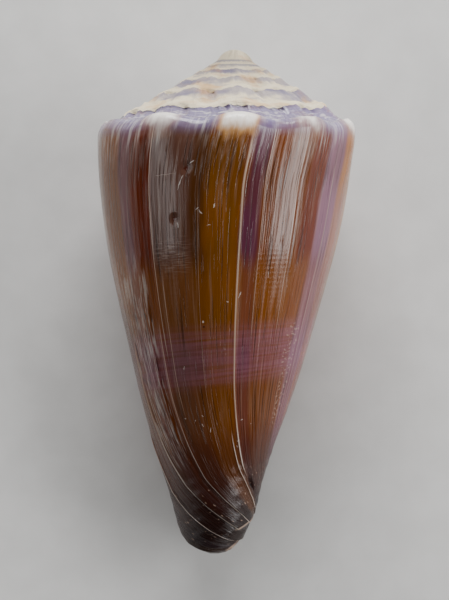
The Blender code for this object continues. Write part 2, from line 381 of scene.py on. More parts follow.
@dataclass(frozen=True)
class Sculpture:
    """Relief of the skin: nodules, folds, growth ridges, cords, grains, crust and chips.

    Sizes and depths are in mm at full size. Depths given as three numbers are a stretch and its fade.
    """

    law: GrowthLaw
    nodule_heights: tuple[float, ...] = (0.8, 0.95, 0.7, 0.9, 0.75, 0.95, 0.7, 1.0, 0.85, 0.35)
    nodule_phase: float = -5 / 60
    nodule_out: float = 0.42
    nodule_up: float = 0.55
    fold_length: float = 4.2
    ridge_half_width: float = 0.14
    ridge_fade: float = 2.0
    step_from: float = 39.0
    old_rim_depth: float = 42.5
    step_fades: tuple[float, float] = (3.35, 0.35)
    step_width_turns: float = 0.003
    step_reach_turns: float = 0.2
    rib_turns: tuple[float, float] = (-0.259, -0.197)
    rib_edges_turns: tuple[float, float] = (0.004, 0.03)
    rib_depths: tuple[float, float, float] = (21.0, 34.0, 4.0)
    rib_height: float = 0.14
    cord_spacing: float = 1.1
    cord_from: float = 36.4
    cord_count: int = 7
    cord_height: float = 0.028
    grain_height: float = 0.03
    stria_height: float = 0.010
    stria_depths: tuple[float, float, float] = (9.0, 42.0, 3.0)
    swell_height: float = 0.05
    swell_depths: tuple[float, float, float] = (9.0, 38.0, 3.0)
    pit_squash: float = 0.8
    pit_edge: float = 1.6
    crust_height: float = 0.52
    crust_lip: float = 0.55
    crust_lip_depths: tuple[float, float, float] = (6.5, 6.9, 0.3)
    jag: float = 0.5
    front_trim: float = 0.5
    trim_depths: tuple[float, float] = (41.0, 44.7)
    trim_turns: tuple[float, float] = (-0.16, -0.08)
    ramp_width: float = 3.0
    ramp_thread_height: float = 0.035
    ramp_thread_count: float = 4.5

    def nodule(self, turn: Array) -> Array:
        """Height of the row of nodules.

        Args:
            turn: Growth lines.

        Returns:
            0 between two nodules and 1 on the tallest.
        """
        count = len(self.nodule_heights)
        phase = (turn - self.nodule_phase) * count
        number = np.round(phase).astype(int)
        heights = np.array(self.nodule_heights)[number % count]
        return self.law.since_tip(turn) * heights * np.cos(np.pi * (phase - number)) ** 2

    def along(self, turn: Array, depth: Array) -> Array:
        """Places on the unrolled skin in mm: along growth, down, and a third number that is 0."""
        return np.stack([turn * TURN_LENGTH, depth + 0 * turn, 0 * turn], -1)

    def suture(self, turn: Array) -> Array:
        """Ragged depth at which the next turn joins this one.

        Args:
            turn: Growth lines.

        Returns:
            Depths in mm.
        """
        spot = self.along(turn, np.zeros_like(turn))
        wander = 0.7 * lumps(spot, 1.7, 3.1) + 0.5 * lumps(spot, 0.6, 8.7)
        return self.law.suture_depth + self.jag * wander * self.law.since_tip(turn)

    def crust(self, turn: Array) -> Array:
        """Share of chalky crust: 1 on the spire and 0 on the last turn."""
        return ease((-0.97 - turn) / 0.05)

    def outward(self, turn: Array, depth: Array) -> Array:
        """Relief of the side outwards, in mm.

        Args:
            turn: Growth lines.
            depth: Depths below the tip.

        Returns:
            How far each point stands out.
        """
        spot = self.along(turn, depth)
        below = (depth - self.law.crest_depth) / self.fold_length
        relief = self.nodule_out * self.nodule(turn) * np.exp(-below * below)
        step_fade = np.where(depth < self.step_from, *self.step_fades)
        for line in GROWTH_LINES:
            away = np.abs(turn - line.turn) * TURN_LENGTH / self.ridge_half_width
            reach = window(depth, line.start, line.end, self.ridge_fade)
            relief += line.height * np.maximum(0, 1 - away) * reach
            older = ease((line.turn - turn) / self.step_width_turns)
            older *= ease((turn - line.turn) / self.step_reach_turns + 1)
            relief += line.step * older * window(depth, self.step_from, self.old_rim_depth, step_fade)
        relief += self.rib(turn, depth) * self.rib_height
        relief += self.cords(turn, depth)
        # Striae 0.42 and 0.9 mm wide. Real ones are about 0.1 mm wide, too fine for the mesh.
        striae = lumps(spot * (1, 0.03, 0), 0.42, 5.0) + 0.6 * lumps(spot * (1, 0.02, 0), 0.9, 1.0)
        relief += self.stria_height * striae * window(depth, *self.stria_depths)
        # Swells 2.6 mm wide, the width of the broader stages of growth.
        swells = lumps(spot * (1, 0.12, 0), 2.6, 12.0)
        relief += self.swell_height * swells * window(depth, *self.swell_depths)
        for pit in PITS:
            away = np.hypot((turn - pit.turn) * TURN_LENGTH, (depth - pit.depth) * self.pit_squash)
            relief -= pit.deep * ease(self.pit_edge - away / pit.radius)
        return relief

    def trim(self, turn: Array, depth: Array) -> Array:
        """How much shorter the worn front end is near the lip.

        Args:
            turn: Growth lines.
            depth: Depths below the tip.

        Returns:
            Lengths in mm.
        """
        (top, bottom), (start, full) = self.trim_depths, self.trim_turns
        low = ease((depth - top) / (bottom - top))
        return self.front_trim * low * ease((turn - start) / (full - start))

    def rib(self, turn: Array, depth: Array) -> Array:
        """Broad rib on the left of the back, with a steep older edge.

        Args:
            turn: Growth lines.
            depth: Depths below the tip.

        Returns:
            1 on the rib and 0 away from it.
        """
        (older, younger), (steep, gentle) = self.rib_turns, self.rib_edges_turns
        across = ease((turn - older) / steep) * ease((younger + gentle - turn) / gentle)
        return across * window(depth, *self.rib_depths)

    def cords(self, turn: Array, depth: Array) -> Array:
        """Spiral cords at the front end, with a row of grains about 1 mm long on each.

        Args:
            turn: Growth lines.
            depth: Depths below the tip.

        Returns:
            Heights in mm.
        """
        # The noise is read 9 mm further on for each cord, so that each has grains of its own.
        number = (depth - self.cord_from) / self.cord_spacing
        cord = np.sin(np.pi * number) ** 2 * window(number, 0.0, float(self.cord_count), 0.3)
        spot = self.along(turn, np.floor(number) * 9.0) * (0.5, 1, 0)
        return cord * (self.cord_height + self.grain_height * np.maximum(0.0, lumps(spot, 0.5, 2.0)))

    def side(self, turn: Array, depth: Array) -> tuple[Array, Array, Array]:
        """Skin from the crest of the shoulder down.

        Args:
            turn: Growth lines.
            depth: Depths below the tip.

        Returns:
            Stage of growth, radius and depth of each point, in mm.
        """
        stage = self.law.stage(turn, depth)
        size = self.law.size(stage)
        below = (depth - self.law.crest_depth) / self.fold_length
        # The rise of a nodule fades three times as soon as its bulge.
        lift = self.nodule_up * self.nodule(turn) * np.exp(-((3 * below) ** 2))
        lift += self.trim(turn, depth) - self.law.shoulder_drop(turn, depth)
        radius = self.law.outline.at(depth) + self.outward(turn, depth)
        radius += self.crust(turn) * self.crust_lip * window(depth, *self.crust_lip_depths)
        return stage, size * radius, size * (depth - lift)

    def ramp(self, turn: Array, share: Array) -> tuple[Array, Array, Array]:
        """Skin of the ramp above the shoulder.

        Args:
            turn: Growth lines.
            share: 0 at the seam with the turn before, 1 at the crest of the shoulder.

        Returns:
            Stage of growth, radius and depth of each point, in mm.
        """
        law = self.law
        swing = np.sin(np.pi * share)
        crest = np.full_like(turn, law.crest_depth)
        stage = law.stage(turn, crest) - law.ramp_lag * law.since_tip(turn) * swing
        size = law.size(turn)
        _, seam_radius, seam_depth = self.side(turn - 1.0, self.suture(turn - 1.0))
        _, crest_radius, _ = self.side(turn, crest)
        crest_depth = size * (law.crest_depth + law.shoulder_drop(turn, crest))
        radius = seam_radius + (crest_radius - seam_radius) * share
        depth = seam_depth + (crest_depth - seam_depth) * share
        spot = self.along(turn, self.ramp_width * share)
        lift = self.nodule_up * self.nodule(turn) * share**3 - law.ramp_sag * swing
        rough = 0.6 * lumps(spot, 1.3, 4.0) + 0.5 * lumps(spot, 0.55, 9.0)
        threads = self.ramp_thread_height * np.sin(2 * np.pi * self.ramp_thread_count * share) * swing
        lift += self.crust(turn) * self.crust_height * rough * swing**0.5 + threads
        return stage, radius, depth - size * lift


@dataclass
class Weave:
    """Collects the points of the skin and the faces between them.

    Args:
        points: Places of the points.
        marks: For each point its place on the unrolled skin and two masks, kept as UV maps.
        faces: Corners of each face.
        surfaces: Surface that each face belongs to.
        same: Points that stand for another one.
        count: How many points there are.
    """

    points: list[Array] = field(default_factory=list)
    marks: list[Array] = field(default_factory=list)
    faces: list[tuple[int, ...]] = field(default_factory=list)
    surfaces: list[int] = field(default_factory=list)
    same: dict[int, int] = field(default_factory=dict)
    count: int = 0

    def sheet(self, points: Array, marks: Array) -> Array:
        """Adds a sheet of points.

        Args:
            points: Places, three numbers each.
            marks: Four numbers for each point.

        Returns:
            Number of each point, in the shape of the sheet.
        """
        shape = points.shape[:-1]
        self.points.append(points.reshape(-1, 3))
        self.marks.append(marks.reshape(-1, 4))
        ids = np.arange(self.count, self.count + int(np.prod(shape))).reshape(shape)
        self.count += ids.size
        return ids

    def face(self, corners: list[int], surface: Surface) -> None:
        """Adds one face, without the corners that fall together, if three are left.

        Args:
            corners: Numbers of its points, in order.
            surface: Surface that it belongs to.
        """
        real = [self.same.get(c, c) for c in corners]
        kept = tuple(c for i, c in enumerate(corners) if real[i] != real[i - 1])
        if len({self.same.get(c, c) for c in kept}) >= 3:
            self.faces.append(kept)
            self.surfaces.append(int(surface))

    def panel(self, ids: Array, surface: Surface) -> None:
        """Fills a whole sheet with four-sided faces.

        Args:
            ids: Numbers of the sheet's points.
            surface: Surface that the faces belong to.
        """
        for a, b in zip(ids, ids[1:]):
            for i in range(len(a) - 1):
                self.face([a[i], b[i], b[i + 1], a[i + 1]], surface)

    def strip(self, first: Row, second: Row, surface: Surface) -> None:
        """Fills the strip between two rows of points that run side by side.

        Args:
            first: Share of the way and number of each point on one side.
            second: The same on the other side.
            surface: Surface that the faces belong to.
        """
        i = j = 0
        while i < len(first) - 1 or j < len(second) - 1:
            ahead = i < len(first) - 1 and j < len(second) - 1 and first[i + 1][0] <= second[j + 1][0]
            on_first = j == len(second) - 1 or ahead
            corner = first[i + 1] if on_first else second[j + 1]
            self.face([first[i][1], corner[1], second[j][1]], surface)
            i, j = i + on_first, j + (not on_first)

    def mesh(self, name: str) -> bpy.types.Mesh:
        """Turns what was collected into a closed mesh with two UV maps.

        Args:
            name: Name of the mesh.

        Returns:
            The mesh, facing outwards.
        """
        points, marks = np.concatenate(self.points), np.concatenate(self.marks)
        real = np.arange(self.count)
        for a, b in self.same.items():
            real[a] = b
        used, order = np.unique(real, return_inverse=True)
        made = bpy.data.meshes.new(name)
        made.from_pydata(points[used], [], [[int(order[c]) for c in f] for f in self.faces])
        corners = np.array([c for f in self.faces for c in f])
        for layer, pick in (("growth", slice(0, 2)), ("relief", slice(2, 4))):
            uv = made.uv_layers.new(name=layer)
            uv.data.foreach_set("uv", marks[corners, pick].astype(np.float32).ravel())
        made.polygons.foreach_set("material_index", np.array(self.surfaces, np.int32))
        bm = bmesh.new()
        bm.from_mesh(made)
        bmesh.ops.recalc_face_normals(bm, faces=bm.faces)
        bm.to_mesh(made)
        bm.free()
        return made


@dataclass
class Shell:
    """The whole shell: skin, open chamber, lip and pillar, laid on its aperture side.

    Depths and sizes are in mm at full size, and columns are counted over one turn. Fields named mark give
    the finish its place where the skin has no depth of its own.
    """

    law: GrowthLaw = field(default_factory=GrowthLaw)
    columns: int = 360
    coarse: int = 4
    ramp_shares: tuple[float, ...] = (0.0, 0.07, 0.15, 0.24, 0.34, 0.45, 0.56, 0.67, 0.77, 0.86, 0.94)
    side_steps: tuple[tuple[float, float, int], ...] = (
        (7.15, 8.6, 7),
        (8.6, 17.0, 40),
        (17.0, 34.0, 42),
        (34.0, 44.7, 54),
    )
    landing_depth: float = 8.6
    white_reach: float = 1.6
    roof_shares: tuple[float, ...] = (0.15, 0.3, 0.45, 0.6, 0.75)
    wall: float = 0.85
    lip_wall: float = 0.5
    lip_thins_over: float = 0.12
    lip_rows: tuple[float, ...] = (0.2, 0.5, 0.8)
    lip_bulge: float = 0.0025
    slope_step: float = 0.2
    tip_rings: tuple[tuple[float, float], ...] = ((0.9, -0.78), (0.76, -0.46), (0.54, -0.18), (0.28, -0.01))
    tip_rise: float = 0.05
    tip_mark: float = 2.2
    end_mark: float = 4.0
    seam_mark: float = 2.6
    roof_mark: float = 5.0
    shoulder_shares: tuple[float, ...] = (1.0, 1.05, 1.1)
    landing_share: float = -0.6
    gap_share: float = -0.5
    tail_gap: float = 0.1
    wall_gap: float = 0.5
    pillar_depths: tuple[float, float] = (22.0, 39.4)
    pillar_radius: float = 1.85
    pillar_rounding: float = 2.6
    pillar_angles_deg: tuple[float, ...] = (0, 15, 30, 45, 60, 75)
    pillar_sides: int = 40
    pillar_turn: float = -0.3
    pillar_mark: float = 3.5
    rest_roll_deg: float = 3.1
    rest_pitch_deg: float = 11.1
    tip_at: tuple[float, float, float] = (0.576, 19.995, 10.689)

    def __post_init__(self) -> None:
        """Makes the relief and the rows and columns that the skin is sampled on."""
        self.form = Sculpture(self.law)
        count = int(round((1 + self.law.spire_turns) * self.columns))
        self.turns = (np.arange(count) - count + 1) / self.columns
        self.lip = count - 1
        self.body = self.lip - self.columns
        self.deep = self.lip - int(round(self.law.chamber_turns * self.columns))
        rows = [np.linspace(a, b, n, endpoint=False) for a, b, n in self.side_steps]
        self.depths = np.append(np.concatenate(rows), self.side_steps[-1][1])
        first = int(np.searchsorted(self.depths, self.landing_depth - 0.01))
        self.inner_depths = np.append(self.depths[first:-1:3], self.depths[-1])
        self.landing_row = first

    def marks(self, turn: Array, depth: Array, bump: Array | float = 0, crust: Array | float = 0) -> Array:
        """What the finish reads of points, in the order of the two UV maps.

        Args:
            turn: Growth lines.
            depth: Depths below the tip.
            bump: Heights of the nodules.
            crust: Shares of crust.

        Returns:
            Four numbers for each point.
        """
        return np.stack(np.broadcast_arrays(turn * TURN_LENGTH, depth, bump, crust), -1)

    def skin(self, turn: Array, depth: Array) -> tuple[Array, Array]:
        """Outside of the shell below the crest.

        Args:
            turn: Growth lines.
            depth: Depths below the tip.

        Returns:
            Points and marks.
        """
        stage, radius, low = self.form.side(turn, depth)
        below = (depth - self.law.crest_depth) / self.white_reach
        bump = self.form.nodule(turn) * np.exp(-below * below)
        return self.law.place(stage, radius, low), self.marks(turn, depth, bump, self.form.crust(turn))

    def ramp(self, turn: Array, share: Array) -> tuple[Array, Array]:
        """Outside of the ramp.

        Args:
            turn: Growth lines.
            share: 0 at the seam and 1 at the crest.

        Returns:
            Points and marks.
        """
        stage, radius, low = self.form.ramp(turn, share)
        depth = self.law.crest_depth - self.seam_mark * (1 - share)
        bump = self.form.nodule(turn) * share**3
        return self.law.place(stage, radius, low), self.marks(turn, depth, bump, self.form.crust(turn))

    def wall_skin(self, turn: Array, depth: Array) -> tuple[Array, Array]:
        """Inside of the last turn's wall, which thins towards the lip.

        Args:
            turn: Growth lines.
            depth: Depths below the tip.

        Returns:
            Points and marks.
        """
        stage = self.law.stage(turn, depth)
        size = self.law.size(stage)
        outline, step = self.law.outline, self.slope_step
        run = outline.at(depth + step) - outline.at(depth - step)
        long = np.hypot(2 * step, run)
        thick = self.lip_wall + (self.wall - self.lip_wall) * ease(-turn / self.lip_thins_over)
        radius = outline.at(depth) - thick * 2 * step / long
        low = depth - self.form.trim(turn, depth) - thick * run / long
        return self.law.place(stage, size * radius, size * low), self.marks(turn, depth)

    def roof_skin(self, turn: Array, share: Array) -> tuple[Array, Array]:
        """Underside of the ramp, inside the chamber.

        Args:
            turn: Growth lines.
            share: 0 at the seam and 1 at the crest.

        Returns:
            Points and marks.
        """
        stage, radius, depth = self.form.ramp(turn, share)
        size = self.law.size(turn)
        below = self.wall + self.form.nodule_up * self.form.nodule(turn) * share**3
        below -= self.law.ramp_sag * np.sin(np.pi * share)
        points = self.law.place(stage, radius, depth + size * below)
        return points, self.marks(turn, self.roof_mark + share)

    def build(self) -> bpy.types.Object:
        """Builds the shell with its pillar and lays it down.

        Returns:
            The finished object, at its place in the frame.
        """
        weave = Weave()
        self.weave_skin(weave)
        mesh = weave.mesh("worn_shell")
        shell = bpy.data.objects.new("worn_shell", mesh)
        pillar = bpy.data.objects.new("pillar", self.pillar_mesh())
        for thing in (shell, pillar):
            bpy.context.scene.collection.objects.link(thing)
        self.lay_down(shell, pillar)
        self.join_pillar(shell, pillar)
        return shell

    def weave_skin(self, weave: Weave) -> None:
        """Lays out every sheet of the skin and joins them into one closed surface.

        Args:
            weave: Collects the points and faces.
        """
        band = self.weave_band(weave)
        turn, depth = np.meshgrid(self.turns[self.body :], self.depths, indexing="ij")
        outside = weave.sheet(*self.skin(turn, depth))
        weave.panel(band[: self.body + 1], Surface.OUTSIDE)
        weave.panel(np.concatenate([band[self.body :], outside], 1), Surface.OUTSIDE)

        parietal = self.weave_parietal(weave, outside)
        landing = np.append(parietal[:, 0], outside[0, self.landing_row])
        chamber = self.weave_chamber(weave, landing)
        lip_ends = self.weave_lip(weave, band, outside, chamber)
        self.weave_deep_end(weave, parietal, chamber)
        self.weave_front_end(weave, outside, parietal, chamber, lip_ends)
        self.weave_tip(weave, band)

    def weave_band(self, weave: Weave) -> Array:
        """Adds the spiral band of ramp and crest, whose lower edge is the next turn's upper edge.

        Args:
            weave: Collects the points and faces.

        Returns:
            Numbers of the band's points, a row for each growth line.
        """
        turn, share = np.meshgrid(self.turns, self.ramp_shares, indexing="ij")
        ramp_points, ramp_marks = self.ramp(turn, share)
        suture = self.form.suture(self.turns)
        crest = np.full_like(suture, self.law.crest_depth)
        lower = np.stack([crest, (crest + suture) / 2, suture], -1)
        side_points, side_marks = self.skin(np.repeat(self.turns[:, None], 3, 1), lower)
        points = np.concatenate([ramp_points, side_points], 1)
        band = weave.sheet(points, np.concatenate([ramp_marks, side_marks], 1))
        for j in range(self.columns, self.lip + 1):
            weave.same[int(band[j, 0])] = int(band[j - self.columns, -1])
        return band

    def weave_parietal(self, weave: Weave, outside: Array) -> Array:
        """Adds the older turn's side inside the chamber, joined to the outside where it comes in.

        Args:
            weave: Collects the points and faces.
            outside: Numbers of the outside's points.

        Returns:
            Numbers of its points.
        """
        old = self.turns[self.deep - self.columns : self.body : self.coarse]
        turn, depth = np.meshgrid(old, self.inner_depths, indexing="ij")
        parietal = weave.sheet(*self.skin(turn, depth))
        weave.panel(parietal, Surface.INSIDE)
        inner = list(zip(self.inner_depths, parietal[-1]))
        outer = list(zip(self.depths[self.landing_row :], outside[0, self.landing_row :]))
        weave.strip(inner, outer, Surface.INSIDE)
        return parietal

    def weave_chamber(self, weave: Weave, landing: Array) -> Array:
        """Adds the chamber's roof and the inside of the wall.

        Args:
            weave: Collects the points and faces.
            landing: Points of the older turn that the roof lands on.

        Returns:
            Numbers of its points, with the landing first in each row.
        """
        young = self.turns[self.deep :: self.coarse]
        turn, share = np.meshgrid(young, self.roof_shares, indexing="ij")
        roof_points, roof_marks = self.roof_skin(turn, share)
        turn, depth = np.meshgrid(young, self.inner_depths, indexing="ij")
        wall_points, wall_marks = self.wall_skin(turn, depth)
        points = np.concatenate([roof_points, wall_points], 1)
        chamber = weave.sheet(points, np.concatenate([roof_marks, wall_marks], 1))
        chamber = np.concatenate([landing[:, None], chamber], 1)
        weave.panel(chamber, Surface.INSIDE)
        return chamber

    def weave_lip(self, weave: Weave, band: Array, outside: Array, chamber: Array) -> list[int]:
        """Rounds the lip's edge between its outside and the wall inside.

        Each row starts on the older turn: at the landing, then across the gap up to the ramp.

        Args:
            weave: Collects the points and faces.
            band: Numbers of the points of ramp and crest.
            outside: Numbers of the outside's points.
            chamber: Numbers of the chamber's points.

        Returns:
            Last point of each row across the edge, from outside in.
        """
        shares = [*self.ramp_shares, *self.shoulder_shares, *(self.depths / self.law.crest_depth)]
        outer = [int(i) for i in (*band[-1], *outside[-1])]
        inner = [int(i) for i in chamber[-1]]
        inner_shares = [0.0, *self.roof_shares, *(self.inner_depths / self.law.crest_depth)]
        places = np.concatenate(weave.points)
        marks = np.concatenate(weave.marks)
        start = self.landing_row
        gap = [(self.gap_share * (n + 1) / (start + 1), int(outside[0, n])) for n in range(start)]
        first = [(self.landing_share, inner[0]), *gap[::-1], *zip(shares, outer)]
        nearest = [int(np.argmin(np.abs(np.array(inner_shares) - s))) for s in shares[1:]]
        turned = np.array([places[inner[i]] for i in nearest])
        ends = []
        for across in self.lip_rows:
            spin = -2 * math.pi * self.lip_bulge * math.sin(math.pi * across)
            spun = np.array(Matrix.Rotation(spin, 3, "Z"))
            mixed = (1 - across) * places[outer[1:]] + across * turned
            ids = weave.sheet(mixed @ spun.T, marks[outer[1:]])
            row = [(self.landing_share, inner[0]), *zip(shares[1:], (int(i) for i in ids))]
            weave.strip(first, row, Surface.OUTSIDE)
            first = row
            ends.append(int(ids[-1]))
        weave.strip(first, list(zip([self.landing_share, *inner_shares[1:]], inner)), Surface.INSIDE)
        return ends

    def weave_deep_end(self, weave: Weave, parietal: Array, chamber: Array) -> None:
        """Closes the deep end of the chamber.

        Args:
            weave: Collects the points and faces.
            parietal: Numbers of the points of the older turn inside the chamber.
            chamber: Numbers of the chamber's points.
        """
        depths = self.inner_depths / self.law.crest_depth
        front = list(zip([0.0, *self.roof_shares, *depths], (int(i) for i in chamber[0])))
        back = list(zip([0.0, *depths[1:]], (int(i) for i in parietal[0])))
        weave.strip(front, back, Surface.INSIDE)

    def weave_front_end(
        self, weave: Weave, outside: Array, parietal: Array, chamber: Array, lip_ends: list[int]
    ) -> None:
        """Closes the front end: the edge of the wall, and the older turns round the axis.

        Args:
            weave: Collects the points and faces.
            outside: Numbers of the outside's points.
            parietal: Numbers of the points of the older turn inside the chamber.
            chamber: Numbers of the chamber's points.
            lip_ends: Last points across the lip's edge.
        """
        first = self.deep - self.body
        outer = [(float(n), int(i)) for n, i in enumerate(outside[first:, -1])]
        inner = [(float(n * self.coarse), int(i)) for n, i in enumerate(chamber[:, -1])]
        # The points across the lip's edge come last, each a little before the one further out.
        last = outer[-1][0]
        tail = [(last - self.tail_gap * n, end) for n, end in enumerate(lip_ends)]
        inner[-1] = (last - self.wall_gap, inner[-1][1])
        weave.strip(outer, inner + tail[::-1], Surface.OUTSIDE)
        loop = [*(int(i) for i in parietal[:, -1]), *(int(i) for i in outside[: first + 1, -1])]
        loop.append(int(chamber[0, -1]))
        height = np.concatenate(weave.points)[loop][:, 2].mean()
        self.fan(weave, loop, height)

    def weave_tip(self, weave: Weave, band: Array) -> None:
        """Closes the worn tip of the spire with a low dome, over the step where its first turn begins.

        Args:
            weave: Collects the points and faces.
            band: Numbers of the points of ramp and crest.
        """
        base = [int(i) for i in band[: self.columns + 1, 0]]
        places = np.concatenate(weave.points)
        marks = np.concatenate(weave.marks)
        rings = [base]
        for share, height in self.tip_rings:
            points = places[base] * (share, share, 0) + (0, 0, height)
            rings.append([int(i) for i in weave.sheet(points, marks[base] + (0, self.tip_mark, 0, 0))])
        for lower, upper in zip(rings, rings[1:]):
            for i in range(self.columns):
                weave.face([lower[i], lower[i + 1], upper[i + 1], upper[i]], Surface.OUTSIDE)
        weave.face([*(int(i) for i in band[0]), rings[1][-1], rings[1][0]], Surface.OUTSIDE)
        for lower, upper in zip(rings[1:], rings[2:]):
            weave.face([lower[0], lower[-1], upper[-1], upper[0]], Surface.OUTSIDE)
        self.fan(weave, rings[-1], self.tip_rise)

    def fan(self, weave: Weave, loop: list[int], height: float) -> None:
        """Fills a closed loop of points with triangles to one point on the axis.

        Args:
            weave: Collects the points and faces.
            loop: Numbers of the loop's points.
            height: Height of the middle point, in mm above the tip.
        """
        marks = np.concatenate(weave.marks)[loop[0]] + (0, self.end_mark, 0, 0)
        middle = int(weave.sheet(np.array([[0.0, 0.0, height]]), marks[None])[0])
        for a, b in zip(loop, loop[1:] + loop[:1]):
            weave.face([a, b, middle], Surface.OUTSIDE)

    def pillar_mesh(self) -> bpy.types.Mesh:
        """Makes the pillar round the axis, which the inner end of the wall winds round.

        Returns:
            Its mesh, in the shell's own frame.
        """
        (top, end), radius, sides = self.pillar_depths, self.pillar_radius, self.pillar_sides
        outline = [(top, radius)]
        for angle in np.radians(self.pillar_angles_deg):
            depth = end - self.pillar_rounding * (1 - math.sin(angle))
            outline.append((depth, radius * math.cos(angle)))
        angles = np.linspace(0, 2 * math.pi, sides, endpoint=False)
        bm = bmesh.new()
        rings = []
        for depth, wide in outline:
            spots = [(wide * math.cos(a), wide * math.sin(a), -depth) for a in angles]
            rings.append([bm.verts.new(s) for s in spots])
        for upper, lower in zip(rings, rings[1:]):
            for i in range(sides):
                after = (i + 1) % sides
                bm.faces.new((upper[i], upper[after], lower[after], lower[i]))
        bm.faces.new(rings[0])
        bm.faces.new(rings[-1])
        bmesh.ops.recalc_face_normals(bm, faces=bm.faces)
        growth = bm.loops.layers.uv.new("growth")
        bm.loops.layers.uv.new("relief")
        for loop in (loop for face in bm.faces for loop in face.loops):
            x, y, z = loop.vert.co
            along = self.pillar_turn * TURN_LENGTH + radius * math.atan2(y, x)
            loop[growth].uv = (along, self.pillar_mark - z)
        mesh = bpy.data.meshes.new("pillar")
        bm.to_mesh(mesh)
        bm.free()
        return mesh

    def turned(self) -> Euler:
        """The shell's turn at rest: rolled about its axis and laid down with its tip raised."""
        return Euler((math.radians(self.rest_pitch_deg - 90), 0, math.radians(self.rest_roll_deg)), "ZXY")

    def lay_down(self, *things: bpy.types.Object) -> None:
        """Turns shapes onto their rest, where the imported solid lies.

        Args:
            things: Objects whose meshes are in the shell's own frame.
        """
        turned = self.turned().to_matrix().to_4x4()
        place = Matrix.Translation(Vector(self.tip_at) * MM) @ turned @ Matrix.Scale(MM, 4)
        for thing in things:
            thing.data.transform(place)

    def join_pillar(self, shell: bpy.types.Object, pillar: bpy.types.Object) -> None:
        """Unites the skin and the pillar into one closed body.

        Args:
            shell: Object that stays.
            pillar: Object that is used up.
        """
        join = shell.modifiers.new("pillar", "BOOLEAN")
        join.operation = "UNION"
        join.solver = "MANIFOLD"
        join.object = pillar
        graph = bpy.context.evaluated_depsgraph_get()
        made = bpy.data.meshes.new_from_object(shell.evaluated_get(graph))
        shell.modifiers.clear()
        shell.data = made
        bpy.data.objects.remove(pillar)


@dataclass(frozen=True)
class Span:
    """Stretch of values that a mask covers, and the distance over which it fades outside it."""

    low: float
    high: float
    soft: float


@dataclass(frozen=True)
class Pattern:
    """Uneven patches or streaks.

    Args:
        sizes: Usual width along growth and height down the shell in mm; a third size makes it solid.
        low: Noise value below which there is none.
        high: Noise value above which it is full.
        detail: Levels of finer noise.
    """

    sizes: tuple[float, ...]
    low: float
    high: float
    detail: float = 2.0


@dataclass
class Board:
    """A material's node tree, with one small function that adds to it."""

    tree: bpy.types.NodeTree

    def add(
        self, kind: str, inputs: dict[int | str, Any], out: int | str = 0, **settings: Any
    ) -> Socket:
        """Adds a node with its settings and links.

        Args:
            kind: Blender's name for the kind of node.
            inputs: For each input a value, or the socket that feeds it.
            out: Output that is wanted.
            settings: Properties of the node; stops are the (place, colour) points of a colour ramp.

        Returns:
            The wanted output.
        """
        node = self.tree.nodes.new(kind)
        stops = settings.pop("stops", None)
        for name, value in settings.items():
            setattr(node, name, value)
        if stops:
            ramp = node.color_ramp
            while len(ramp.elements) < len(stops):
                ramp.elements.new(1.0)
            for element, (place, colour) in zip(ramp.elements, stops):
                element.position = place
                element.color = colour
        for key, value in inputs.items():
            if isinstance(value, Socket):
                self.tree.links.new(value, node.inputs[key])
            else:
                node.inputs[key].default_value = value
        return node.outputs[out]

    def product(self, *parts: Socket | float) -> Socket:
        """Multiplies masks and strengths with each other.

        Args:
            parts: Masks and numbers.

        Returns:
            Their product, kept between 0 and 1.
        """
        whole = parts[0]
        for part in parts[1:]:
            whole = self.add("ShaderNodeMath", {0: whole, 1: part}, operation="MULTIPLY", use_clamp=True)
        return whole

    def union(self, *parts: Socket) -> Socket:
        """Joins masks into one that covers what any of them covers.

        Args:
            parts: Masks.

        Returns:
            The largest of them at each place.
        """
        whole = parts[0]
        for part in parts[1:]:
            whole = self.add("ShaderNodeMath", {0: whole, 1: part}, operation="MAXIMUM")
        return whole

    def between(self, value: Socket, span: Span) -> Socket:
        """Mask of the places whose value lies in a span.

        Args:
            value: Value to look at.
            span: Values that are covered.

        Returns:
            The mask.
        """
        edges = []
        for start, end in ((span.low - span.soft, span.low), (span.high + span.soft, span.high)):
            ends = {"Value": value, "From Min": start, "From Max": end}
            edges.append(self.add("ShaderNodeMapRange", ends, interpolation_type="SMOOTHSTEP"))
        return self.product(*edges)

    def patches(self, place: Socket, pattern: Pattern) -> Socket:
        """Mask of uneven patches or streaks.

        Args:
            place: Place in mm, on the unrolled skin or in space.
            pattern: Sizes and edges of the patches.

        Returns:
            The mask.
        """
        frequency = tuple(1 / size for size in (*pattern.sizes, 1)[:3])
        scaled = self.add("ShaderNodeVectorMath", {0: place, 1: frequency}, operation="MULTIPLY")
        spots = self.add("ShaderNodeTexNoise", {"Vector": scaled, "Scale": 1.0, "Detail": pattern.detail})
        ends = {"Value": spots, "From Min": pattern.low, "From Max": pattern.high}
        return self.add("ShaderNodeMapRange", ends, interpolation_type="SMOOTHSTEP")

    def layered(self, base: Rgba | Socket, layers: list[tuple[Rgba, Socket]]) -> Socket:
        """Lays colours over a base, one after the other, each where its mask says.

        Args:
            base: Colour below all others.
            layers: Colours and their masks, lowest first.

        Returns:
            The colour that shows.
        """
        for colour, mask in layers:
            mixed = {0: mask, 6: base, 7: colour}
            base = self.add("ShaderNodeMix", mixed, 2, data_type="RGBA")
        return base


@dataclass(frozen=True)
class GrowthBand:
    """A coloured band along the growth lines, from a turn to the next band."""

    start: float
    shade: Shade


